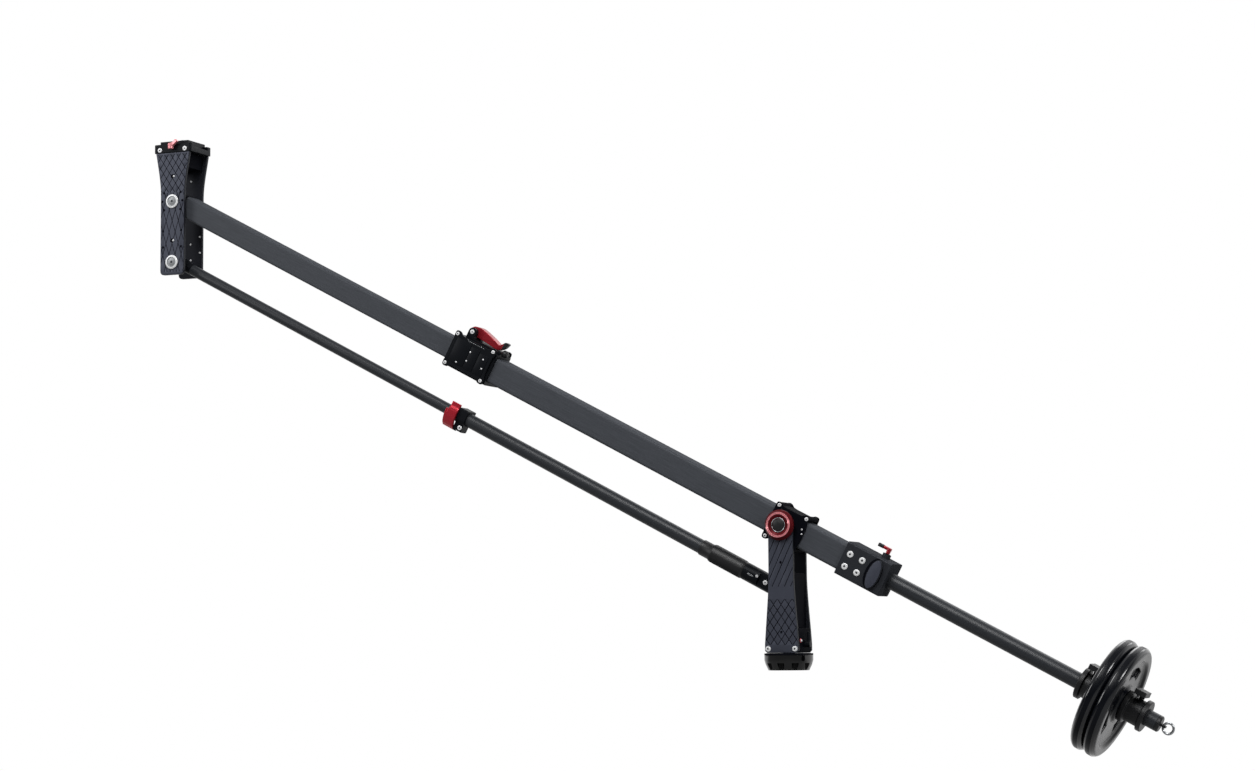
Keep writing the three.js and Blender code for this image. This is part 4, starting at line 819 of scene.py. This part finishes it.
class CRANE_OT_column(Operator):
    """Dresses the column: engraved plates, foot, web, axles, screws and the pan lock lever"""

    bl_idname = "jib_crane.column"
    bl_label = "Column"

    def execute(self, context):
        fine = sizes()
        # Painted shade: the web and the foot between the plates are dressed unreflecting black
        for node in ("column_foot", "column_web"):
            dress(node, material="matt_black")
        for node in ("tilt_axle", "link_axle_rear"):
            dress(node, rounding=0.3 * MM)
        # Painted shade: the pan lock lever is dressed black, where it lies in shade between the plates
        forge_lever("pan_lock_lever", "black_anodised")
        self.make_stop()
        pivot = TILT_PIVOT.z
        foot, band_low, band_high, end = (pivot - drop * MM for drop in (165, 102, 85, 12))
        stroke_height = fine.stroke_width * 2.1
        zones = [
            (foot, band_low, fine.lattice_width, fine.lattice_height, (-1, 1)),
            (band_high, end, fine.stroke_width, stroke_height, (1,)),
        ]
        screws, holes = [(-19.6, 5.6), (19.6, 5.6)], [(0, -51.4), (0, -147.5)]
        for side, outward in SIDES:
            node = f"column_plate_{side}"
            engraved_plate(node, CRANE, zones)
            face, bottom = face_of(node, CRANE, outward), extent(node)[0].z
            add_screws(
                f"column_foot_screws_{side}", CRANE, "column", outward,
                spots(face, screws, (0, bottom)), fine.foot_screw,
            )
            add_holes(
                f"column_holes_{side}", CRANE, "column", outward, spots(face, holes, (0, pivot)),
                radius=1.7 * MM,
            )
        return {"FINISHED"}

    def make_stop(self):
        """A small bright screw on a red washer, at the rear of the foot: a painted glint where the pan lock
        lever's red tip catches the light
        """
        thick = 0.9 * MM
        seat = Vector((extent("column_foot")[1].x, -17 * MM, 40.7 * MM))
        washer = ring_profile(bore=0, radius=3 * MM, above=thick, below=0.5 * MM)
        publish("pan_stop_washer", turned(washer, "X", seat), CRANE, "column", "red_anodised")
        head = seat + Vector((thick, 0, 0))
        add_screws("pan_stop_screw", CRANE, "column", 1, [head], radius=1.8 * MM, axis="X")


class CRANE_OT_tilt_knob(Operator):
    """Makes the red tilt knob with its grip, its centre disc and the retaining ring"""

    bl_idname = "jib_crane.tilt_knob"
    bl_label = "Tilt Knob"

    def execute(self, context):
        self.make_grip()
        self.make_disc()
        return {"FINISHED"}

    def make_grip(self):
        """The knurled grip round a recess, with a ring of two beads on its face. The ring is a painted highlight,
        a pale copy of the red, and the grip and recess are painted shade, a dark copy.
        """
        low, high = extent("tilt_knob", PIVOT)
        base, face, radius = high.y, low.y, high.x
        ring_out, ring_in, recess, bore = 17.6 * MM, 14.6 * MM, 11 * MM, 6.3 * MM
        grip_end, floor, chamfer = base - 4 * MM, face + 4 * MM, 0.8 * MM
        outer_bead = [(0, 0.8), (-0.15, 0.3), (-0.5, 0), (-0.9, 0.3), (-1.1, 0.6)]
        inner_bead = [(1, 0.6), (0.8, 0.3), (0.45, 0), (0.1, 0.3), (0, 0.8)]
        profile = [
            (bore, base), (radius - chamfer, base), (radius, base - chamfer), (radius, grip_end),
            (radius - 0.9 * MM, grip_end - chamfer), (ring_out + 1.2 * MM, face + 2.4 * MM),
            *from_centre(outer_bead, (ring_out, face)), *from_centre(inner_bead, (ring_in, face)),
            (recess, face + 2.6 * MM), (recess, floor), (bore, floor),
        ]
        ridges = ridge_count(radius)
        bm = turned(profile, "Y", steps=ridges)
        knurl(bm, "Y", radius, ridges, band=1 * MM)
        # The ring's faces take the painted highlight, and the grip and recess the painted shade
        polished, plain = range(2)
        edge = ring_out + 0.2 * MM
        for part in bm.faces:
            at = part.calc_center_median()
            on_ring = ring_in < math.hypot(at.x, at.z) < edge
            part.material_index = polished if on_ring else plain
        publish(
            "tilt_knob_grip", bm, PIVOT, "knob", "red_anodised", ["bright_red", "deep_red"],
            ["tilt_knob"],
        )

    def make_disc(self):
        """The dark domed disc in the knob's recess, and the wire ring that holds it"""
        low, high = extent("tilt_knob_cap", PIVOT)
        radius, back, top = high.x, high.y, low.y
        rim, crown, seat = radius * 0.78, radius * 0.7, radius * 0.9
        wall, rise = 0.6 * MM, 0.1 * MM
        dome = [
            (0, back), (rim, back), (rim, top + wall), (crown, top + rise), (0, top - rise),
        ]
        publish(
            "tilt_knob_disc", turned(dome, "Y"), PIVOT, "knob", "black_plastic",
            replaced=["tilt_knob_cap"],
        )
        wire, sunk = 0.65 * MM, 0.4 * MM
        clip = oval(seat, top + sunk, wire, wire, steps=12)
        publish("tilt_knob_retaining_ring", turned(clip, "Y"), PIVOT, "knob", "bright_steel")


class CRANE_OT_boom_tubes(Operator):
    """Dresses the two boom tubes, matt on top, and the tip fitting"""

    bl_idname = "jib_crane.boom_tubes"
    bl_label = "Boom Tubes"

    def execute(self, context):
        for node in ("outer_tube", "inner_tube"):
            refinish(dress(node, rounding=0.3 * MM), "carbon_top", (0, 0, 1))
        dress("boom_tip")
        return {"FINISHED"}


class CRANE_OT_tilt_collar(Operator):
    """Dresses the collar that carries the boom on its axle, with its corner screws"""

    bl_idname = "jib_crane.tilt_collar"
    bl_label = "Tilt Collar"

    def execute(self, context):
        for node in ("collar_saddle_top", "collar_saddle_bottom"):
            dress(node, rounding=1.5 * MM, segments=3, material="matt_black")
        pins = [(22.6, 7.8), (25, 2)]
        for side, outward in SIDES:
            node = f"collar_cheek_{side}"
            dress(node, rounding=0.7 * MM, material="matt_black")
            dress(f"tilt_washer_{side}", rounding=0.2 * MM)
            low, high = extent(node, BOOM)
            centre = ((low.x + high.x) / 2, 0)
            face = face_of(node, BOOM, outward)
            add_screws(
                f"collar_screws_{side}", BOOM, "boom", outward,
                spots(face, corners(22.3, 23.6), centre), sizes().ear_screw,
            )
            add_screws(
                f"collar_pins_{side}", BOOM, "boom", outward, spots(face, pins, centre),
                radius=1.2 * MM,
            )
        return {"FINISHED"}


class CRANE_OT_lock_bracket(Operator):
    """Dresses the lock bracket: housing, covers with their screws, cam lever and small knob"""

    bl_idname = "jib_crane.lock_bracket"
    bl_label = "Lock Bracket"

    def execute(self, context):
        dress("lock_housing", rounding=0.8 * MM)
        dress("lock_lever_pin", rounding=0.3 * MM)
        self.make_lever()
        dress("lock_knob", rounding=0.6 * MM)
        for side, outward in SIDES:
            self.make_cover(side, outward)
        low, high = extent("lock_lever_pin", BOOM)
        middle = (low + high) / 2
        for side, outward in SIDES:
            face = face_of("lock_lever_pin", BOOM, outward)
            add_screws(
                f"lock_pin_screw_{side}", BOOM, "boom", outward, [(middle.x, face, middle.z)],
                radius=3.4 * MM,
            )
        return {"FINISHED"}

    def make_cover(self, side, outward):
        """A lobed cover with its corner screws, raised pads with pins, and a painted highlight: a thin bright
        strip along its upper edge
        """
        node = f"lock_cover_{side}"
        dress(node, rounding=0.8 * MM)
        low, high = extent(node, BOOM)
        middle = (low + high) / 2
        centre = (middle.x, middle.z)
        face = face_of(node, BOOM, outward)
        add_screws(
            f"lock_cover_screws_{side}", BOOM, "boom", outward,
            spots(face, corners(32.5, 23.2), centre), sizes().ear_screw,
        )
        pins = [(-1, 7.5), (-1, -6.5), (23, 6.5), (26.5, -6.5), (-15.5, -15)]
        raised = 0.6 * MM
        add_screws(
            f"lock_cover_pins_{side}", BOOM, "boom", outward,
            spots(face + outward * raised, pins, centre), radius=1.3 * MM,
        )
        bottom = -18
        plates = []
        for start, end, top in ((-30, -4, 19), (-2.6, 12.6, 16), (14, 30, 13)):
            pad = [(start, bottom), (end, bottom), (end, top), (start, top)]
            plates.append(
                plaque(
                    from_centre(pad, centre), face, outward, thickness=0.7 * MM,
                    rounding=0.3 * MM,
                )
            )
        publish(f"lock_cover_pads_{side}", joined(plates), BOOM, "boom", "black_anodised")
        # Painted highlight: a thin bright strip where the cover's upper edge catches the light
        line = [(-562, 25.6), (-556.6, 23.6), (-528.5, 23.9), (-528.5, 23.2), (-556.9, 22.9)]
        edge = plaque(from_centre(line), face, outward, thickness=0.3 * MM, rounding=0.1 * MM)
        publish(f"lock_cover_edge_{side}", edge, BOOM, "boom", "bright_steel")

    def make_lever(self):
        """The forged cam lever, narrower towards its free end, with a moulded tip"""
        end = extent("lock_lever", BOOM)[1].x
        taper, narrowing = 16 * MM, 0.6
        bm = machined_copy("lock_lever")
        bm.transform(BOOM.inverted())
        for vertex in bm.verts:
            share = (vertex.co.x - end + taper) / taper
            vertex.co.y *= 1 - narrowing * min(max(share, 0), 1)
        bm.transform(BOOM)
        along = BOOM.to_3x3() @ Vector((1, 0, 0))
        moulded_tip("lock_lever", bm, BOOM @ Vector((end - 7 * MM, 0, 0)), along)
        # The lever takes the darker copy of the red: painted shade
        forge_lever("lock_lever", "dark_red", bm)


class CRANE_OT_rear_block(Operator):
    """Dresses the rear clamp block with its screws, boss and lever"""

    bl_idname = "jib_crane.rear_block"
    bl_label = "Rear Block"

    def execute(self, context):
        block = dress("rear_clamp_block", rounding=0.8 * MM, material="block")
        for direction in ((0, 0, 1), (1, 0, 0)):
            refinish(block, "block_end", direction)
        self.make_lever()
        side_face = face_of("rear_clamp_block", BOOM, 1)
        places = [(along, up) for along in (108, 127.4) for up in (-9.2, 9.2)]
        for side, outward in SIDES:
            add_screws(
                f"rear_block_screws_{side}", BOOM, "boom", outward,
                spots(outward * side_face, places), sizes().block_screw,
            )
        boss_face = face_of("rear_clamp_block", BOOM, -1)
        # Painted shade: a thin black oval sheet round the boss, standing for the shade in the groove at its foot
        outline = oval(149 * MM, 0, half_length=12 * MM, half_height=22.4 * MM)
        raised = 0.25 * MM
        gap = slab(outline, -side_face - raised, -side_face)
        publish("rear_block_gap", gap, BOOM, "boom", "black_anodised", ["matt_black"])
        outline = oval(151 * MM, 0, half_length=8.2 * MM, half_height=20.4 * MM)
        lid = plaque(outline, boss_face, -1, thickness=0.6 * MM, rounding=raised)
        publish("rear_block_lid", lid, BOOM, "boom", "black_anodised", ["plate"])
        return {"FINISHED"}

    def make_lever(self):
        """The forged lever on the stud, shorter and slimmer than its node, then grown all round,
        with a moulded tip"""
        low, high = extent("bar_lock_lever", BOOM)
        stud = Vector((high.x - 3.2 * MM, 0, low.z))
        growth = 0.5 * MM
        bm = machined_copy("bar_lock_lever")
        shorter = Matrix.Diagonal((0.82, 1, 0.8, 1))
        bm.transform(
            BOOM @ Matrix.Translation(stud + Vector((0, 0, growth))) @ shorter
            @ Matrix.Translation(-stud) @ BOOM.inverted()
        )
        along = BOOM.to_3x3() @ Vector((-1, 0, 0))
        tip = moulded_tip("bar_lock_lever", bm, BOOM @ Vector((stud.x - 9 * MM, 0, 0)), along)
        # The lever takes the darker copy of the red: painted shade
        lever = forge_lever("bar_lock_lever", "dark_red", bm)
        for piece, strength in ((lever, growth), (tip, growth * 1.4)):
            fuller = piece.modifiers.new("fuller", "DISPLACE")
            fuller.strength = strength
            fuller.mid_level = 0


class CRANE_OT_counterweights(Operator):
    """Dresses the counterweight bar, its end ring, the two discs, the collars and their levers"""

    bl_idname = "jib_crane.counterweights"
    bl_label = "Counterweights"

    def execute(self, context):
        fine = sizes()
        dress("weight_bar", rounding=0.3 * MM, material="rod")
        dress("bar_end_cap", rounding=0.5 * MM)
        for node in ("weight_inner", "weight_outer"):
            self.enamel(dress(node, rounding=2.2 * MM, segments=4), node)
        for kind in ("collar", "collar_lever"):
            for place in ("inner", "outer"):
                dress(f"{kind}_{place}", rounding=fine.soft_edge, segments=3)
        low, high = extent("bar_end_ring", BOOM)
        wire = 1.8 * MM
        section = oval((high.x - low.x) / 2 - wire, 0, wire, wire, steps=16)
        publish(
            "bar_end_ring_wire", turned(section, "Y", (low + high) / 2), BOOM,
            BODY_OF["bar_end_ring"], "bright_steel", replaced=["bar_end_ring"],
        )
        return {"FINISHED"}

    def enamel(self, disc, node):
        """Gives a disc its dull rim and the glossy edge between rim and face"""
        low, high = extent(node, BOOM)
        axis = BOOM.to_3x3() @ Vector((1, 0, 0))
        back = BOOM.inverted()
        band, rim_lean, face_lean = 3.5 * MM, 0.3, 0.95
        plain, dull, glossy = range(3)
        for name in ("dull_enamel", "glossy_enamel"):
            disc.data.materials.append(finish(name))
        for face in disc.data.polygons:
            at = back @ face.center
            if math.hypot(at.y, at.z - (low.z + high.z) / 2) > high.y - band:
                lean = abs(face.normal.dot(axis))
                bent = glossy if lean < face_lean else plain
                face.material_index = dull if lean < rim_lean else bent


class CRANE_OT_lower_link(Operator):
    """Dresses the lower link: tubes, knurled adjuster, yoke, clamp and its lever on a pin"""

    bl_idname = "jib_crane.lower_link"
    bl_label = "Lower Link"

    def execute(self, context):
        for node in ("rear_link_tube", "front_link_tube"):
            dress(node, rounding=0.3 * MM, material="rod")
        for node in ("link_yoke", "link_clamp", "front_link_eye"):
            dress(node)
        forge_lever("link_clamp_lever")
        self.make_pin()
        self.make_adjuster()
        lug_share = 0.7
        lug_face = face_of("link_clamp", LINK, -1) * lug_share
        barrel, flat = 12 * MM, 9 * MM
        for name, radius, face, at in (
            ("link_clamp_screw", 3.5 * MM, lug_face, (-564.3, -15)),
            ("link_yoke_pins", 2 * MM, -barrel, (-48, 3)),
            ("link_yoke_screws", 3.4 * MM, -flat, (-34, 0)),
        ):
            add_screws(name, LINK, "rear_link", -1, spots(face, [at]), radius)
        # Painted highlight: a thin bright steel plate where the yoke's barrel catches a long streak of light
        outline = oval(-58 * MM, 0, half_length=5.4 * MM, half_height=1.1 * MM, steps=24)
        key = plaque(outline, -barrel, -1, thickness=0.8 * MM, rounding=0.2 * MM)
        publish("link_yoke_key", key, LINK, "rear_link", "bright_steel")
        return {"FINISHED"}

    def make_pin(self):
        """The hinge pin that joins the clamp's lever to its lug"""
        pivot = LINK.inverted() @ Vector(joint("link_clamp_open")["pos_m"])
        pivot.x = extent("link_clamp_lever", LINK)[1].x
        radius, in_lever, in_lug = 1.5 * MM, -8 * MM, 4 * MM
        pin = [(0, in_lever), (radius, in_lever), (radius, in_lug), (0, in_lug)]
        publish("link_clamp_pin", turned(pin, "X", pivot), LINK, "rear_link", "black_anodised")

    def make_adjuster(self):
        """A handle with a diamond knurl between two plain rims"""
        low, high = extent("link_adjuster", LINK)
        radius, rear = high.z, high.x
        front, floor = rear - 58 * MM, rear - 68.7 * MM
        neck, neck_bore, core_bore = 11.4 * MM, 10.5 * MM, 5.3 * MM
        rim, plain = 2 * MM, radius - 0.6 * MM
        step = 1.6 * rim
        start, reach = front + 2 * rim, rear - front - 4 * rim
        rows = 2 * round(reach / sizes().knurl_pitch)
        profile = [
            (neck_bore, low.x), (neck, low.x), (neck, front), (plain, front + rim),
            (plain, front + step),
            *((radius, start + reach * row / rows) for row in range(rows + 1)),
            (plain, rear - step), (plain, rear - rim), (radius - rim, rear), (core_bore, rear),
            (core_bore, floor), (neck_bore, floor),
        ]
        ridges = ridge_count(radius)
        bm = turned(profile, "X", steps=ridges)
        knurl(bm, "X", radius, ridges, band=0.1 * MM, start=start, pitch=reach / rows)
        publish(
            "link_adjuster_handle", bm, LINK, "adjuster", "black_plastic",
            replaced=["link_adjuster"],
        )


class CRANE_OT_head(Operator):
    """Dresses the head: engraved plates, bearing caps, axles, block and small holes"""

    bl_idname = "jib_crane.head"
    bl_label = "Head"

    def execute(self, context):
        fine = sizes()
        # Painted shade: the block between the head's plates is dressed unreflecting black
        dress("head_block", material="matt_black")
        for node in ("head_axle_upper", "head_axle_lower"):
            dress(node, rounding=0.3 * MM)
        pairs = [(15, 13.5), (18, 0.5), (14.5, -13), (16.3, -46), (16.3, -71)]
        dimples = [(way * x, z) for x, z in pairs for way in (1, -1)]
        middle_holes, middle_screws = [(0.1, 39), (0.1, -61)], [(2.3, 39), (2.3, -61)]
        seen_inside = [(1.5, 38), (1.5, -61), (18, -50), (18, -75), (1.5, -86)]
        sunk = 0.7 * MM
        foot, border, top = -110 * MM, 14 * MM, 74 * MM
        long_height = fine.lattice_height * 2.2
        zones = [
            (border, top, fine.lattice_width, fine.lattice_height, (-1, 1)),
            (foot, border, fine.lattice_width, long_height, (-1, 1)),
        ]
        for side, outward in SIDES:
            node = f"head_plate_{side}"
            engraved_plate(node, HEAD, zones)
            face = face_of(node, HEAD, outward)
            add_holes(
                f"head_holes_{side}", HEAD, "head", outward, spots(face, dimples),
                radius=1.9 * MM,
            )
            add_holes(
                f"head_middle_holes_{side}", HEAD, "head", outward, spots(face, middle_holes),
                radius=3.2 * MM,
            )
            add_screws(
                f"head_middle_screws_{side}", HEAD, "head", outward,
                spots(face - outward * sunk, middle_screws), radius=1.7 * MM,
            )
            for level in ("upper", "lower"):
                self.make_cap(f"bearing_cap_{level}_{side}", outward)
        inside = face_of("head_plate_far", HEAD, -1)
        add_screws(
            "head_inner_screws", HEAD, "head", -1, spots(inside, seen_inside), radius=1.6 * MM
        )
        return {"FINISHED"}

    def make_cap(self, node, outward):
        """A turned cap: a bright rim round a grey recess with a low hub. The recess and the hub are darkened as
        painted shade.
        """
        low, high = extent(node, HEAD)
        centre = (low + high) / 2
        radius, tall = (high.x - low.x) / 2, high.y - low.y
        shares = [
            (0, 0.3), (0.16, 0.3), (0.2, 0.75), (0.34, 0.75), (0.46, 0.35), (0.7, 0.35),
            (0.74, 1), (0.92, 1), (1, 0.7), (1, 0), (0, 0),
        ]
        profile = [(radius * across, outward * tall * along) for across, along in shares]
        seat = (low if outward > 0 else high).y
        bm = turned(profile, "Y", (centre.x, seat, centre.z))
        rim, hub, recess = range(3)
        rim_share, hub_share = 0.72, 0.18
        for face in bm.faces:
            offset = face.calc_center_median() - centre
            offset.y = 0
            reach = offset.length / radius
            inner = hub if reach < hub_share else recess
            face.material_index = rim if reach > rim_share else inner
        publish(
            f"{node}_turned", bm, HEAD, "head", "bright_steel", ["screw", "socket", "dull_steel"],
            [node],
        )


class CRANE_OT_platform(Operator):
    """Dresses the camera platform, its sliding plate, the camera screw and the red lever"""

    bl_idname = "jib_crane.platform"
    bl_label = "Platform"

    def execute(self, context):
        dress("camera_platform", rounding=0.8 * MM, material="black_anodised")
        dress("camera_plate", rounding=0.4 * MM, material="black_anodised")
        dress("camera_screw", rounding=0.2 * MM)
        # Painted highlight: the whole lever takes the pale pink copy of the red
        forge_lever("plate_lever", "bright_red")
        foot = extent("camera_platform", HEAD)[0].z
        screws = [(-22.4, 4.5), (22.4, 4.5)]
        for side, outward in SIDES:
            face = face_of("camera_platform", HEAD, outward)
            add_screws(
                f"platform_screws_{side}", HEAD, "head", outward, spots(face, screws, (0, foot)),
                radius=3.7 * MM,
            )
        return {"FINISHED"}


class CRANE_OT_stage(Operator):
    """Makes the pale floor and backdrop, the soft studio lamps and the camera"""

    bl_idname = "jib_crane.stage"
    bl_label = "Stage"

    def execute(self, context):
        scene = context.scene
        self.make_floor(scene)
        self.make_backdrop(scene)
        self.make_lamps(scene)
        self.make_camera(scene)
        scene.view_settings.view_transform = "Standard"
        return {"FINISHED"}

    def make_floor(self, scene):
        """A wide floor under the crane's lowest reach"""
        depth, half = -0.8, 40.0
        bm = bmesh.new()
        bmesh.ops.create_grid(bm, x_segments=2, y_segments=2, size=half)
        bmesh.ops.translate(bm, vec=(0, 0, depth), verts=bm.verts)
        mesh = bpy.data.meshes.new("floor")
        bm.to_mesh(mesh)
        bm.free()
        mesh.materials.append(studio_white(scene.crane_colours.floor))
        floor = bpy.data.objects.new("floor", mesh)
        scene.collection.objects.link(floor)

    def make_backdrop(self, scene):
        """A world that the camera sees as plain white. It lights the crane from above, and is
        bright in reflections only high up and behind the crane."""
        world = bpy.data.worlds.new("studio")
        scene.world = world
        world.use_nodes = True
        tree = world.node_tree
        direction = add_node(tree, "TexCoord", {}, {})["Generated"]
        axes = add_node(tree, "SeparateXYZ", {}, {"Vector": direction})
        # The direction that each share follows, its start and end, and the share at either end
        reaches = (
            ("Z", 0.2, 0.9, 0.04, 0.4), ("Y", 0.1, 0.8, 0.04, 0.9), ("Z", -0.1, 0.9, 0.05, 0.8)
        )
        above, behind, lit = (
            add_node(
                tree, "MapRange", {"interpolation_type": "SMOOTHSTEP"},
                {
                    "Value": axes[axis], "From Min": start, "From Max": end, "To Min": low,
                    "To Max": high,
                },
            )["Result"]
            for axis, start, end, low, high in reaches
        )
        mirrored = add_node(tree, "Math", {"operation": "MAXIMUM"}, {0: above, 1: behind})["Value"]
        strength = seen_share(tree, 1.0, mirrored, lit)
        feed(tree, tree.nodes["Background"], {"Color": (1, 1, 1, 1), "Strength": strength})

    def make_lamps(self, scene):
        """A large key lamp above the near side, fills from both ends and one from behind"""
        lamps = [
            ("key", (0.2, -2.5, 2.9), 1.6, 64),
            ("fill", (-2.6, -1.8, 1.5), 1.2, 20),
            ("side", (2.6, -1.1, 1.2), 0.9, 24),
            ("back", (0.4, 2.4, 2.2), 2.0, 20),
        ]
        target = Vector((-0.3, 0, 0.35))
        for name, place, width, power in lamps:
            lamp = bpy.data.lights.new(name, "AREA")
            lamp.shape = "SQUARE"
            lamp.size = width
            lamp.energy = power
            holder = bpy.data.objects.new(name, lamp)
            holder.location = place
            holder.rotation_euler = (target - Vector(place)).to_track_quat("-Z", "Y").to_euler()
            scene.collection.objects.link(holder)

    def make_camera(self, scene):
        """The photograph's view: an 80 mm lens, a little below the crane and to its rear side"""
        place = (1.35525, -3.64519, 0.04020)
        azimuth, elevation, roll = (math.radians(x) for x in (23.65, -5.26, -0.41))
        back = Vector((
            math.sin(azimuth) * math.cos(elevation), -math.cos(azimuth) * math.cos(elevation),
            math.sin(elevation),
        ))
        level = Vector((math.cos(azimuth), math.sin(azimuth), 0))
        upright = back.cross(level)
        right = level * math.cos(roll) + upright * math.sin(roll)
        up = upright * math.cos(roll) - level * math.sin(roll)
        data = bpy.data.cameras.new("camera")
        data.lens = 80
        data.sensor_width = 36
        data.clip_start, data.clip_end = 0.1, 200
        camera = bpy.data.objects.new("camera", data)
        turn = Matrix((right, up, back)).transposed().to_4x4()
        camera.matrix_world = Matrix.Translation(place) @ turn
        scene.collection.objects.link(camera)
        scene.camera = camera


STEPS = (
    CRANE_OT_base,
    CRANE_OT_column,
    CRANE_OT_tilt_knob,
    CRANE_OT_boom_tubes,
    CRANE_OT_tilt_collar,
    CRANE_OT_lock_bracket,
    CRANE_OT_rear_block,
    CRANE_OT_counterweights,
    CRANE_OT_lower_link,
    CRANE_OT_head,
    CRANE_OT_platform,
    CRANE_OT_stage,
)


class CRANE_PT_panel(Panel):
    """Lists the crane's steps, colours and sizes"""

    bl_idname = "CRANE_PT_panel"
    bl_label = "Jib Crane"
    bl_space_type = "VIEW_3D"
    bl_region_type = "UI"
    bl_category = "Jib Crane"

    def draw(self, context):
        for step in STEPS:
            self.layout.operator(step.bl_idname)
        for group in (context.scene.crane_colours, context.scene.crane_sizes):
            column = self.layout.column()
            for name in group.bl_rna.properties.keys():
                if name not in ("rna_type", "name"):
                    column.prop(group, name)


CLASSES = (CraneColours, CraneSizes, *STEPS, CRANE_PT_panel)


def register():
    for entry in CLASSES:
        bpy.utils.register_class(entry)
    bpy.types.Scene.crane_colours = PointerProperty(type=CraneColours)
    bpy.types.Scene.crane_sizes = PointerProperty(type=CraneSizes)


def unregister():
    del bpy.types.Scene.crane_sizes
    del bpy.types.Scene.crane_colours
    for entry in reversed(CLASSES):
        bpy.utils.unregister_class(entry)


def main():
    """Registers the add-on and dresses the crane"""
    register()
    for step in STEPS:
        group, name = step.bl_idname.split(".")
        getattr(getattr(bpy.ops, group), name)()


if __name__ == "__main__":
    main()
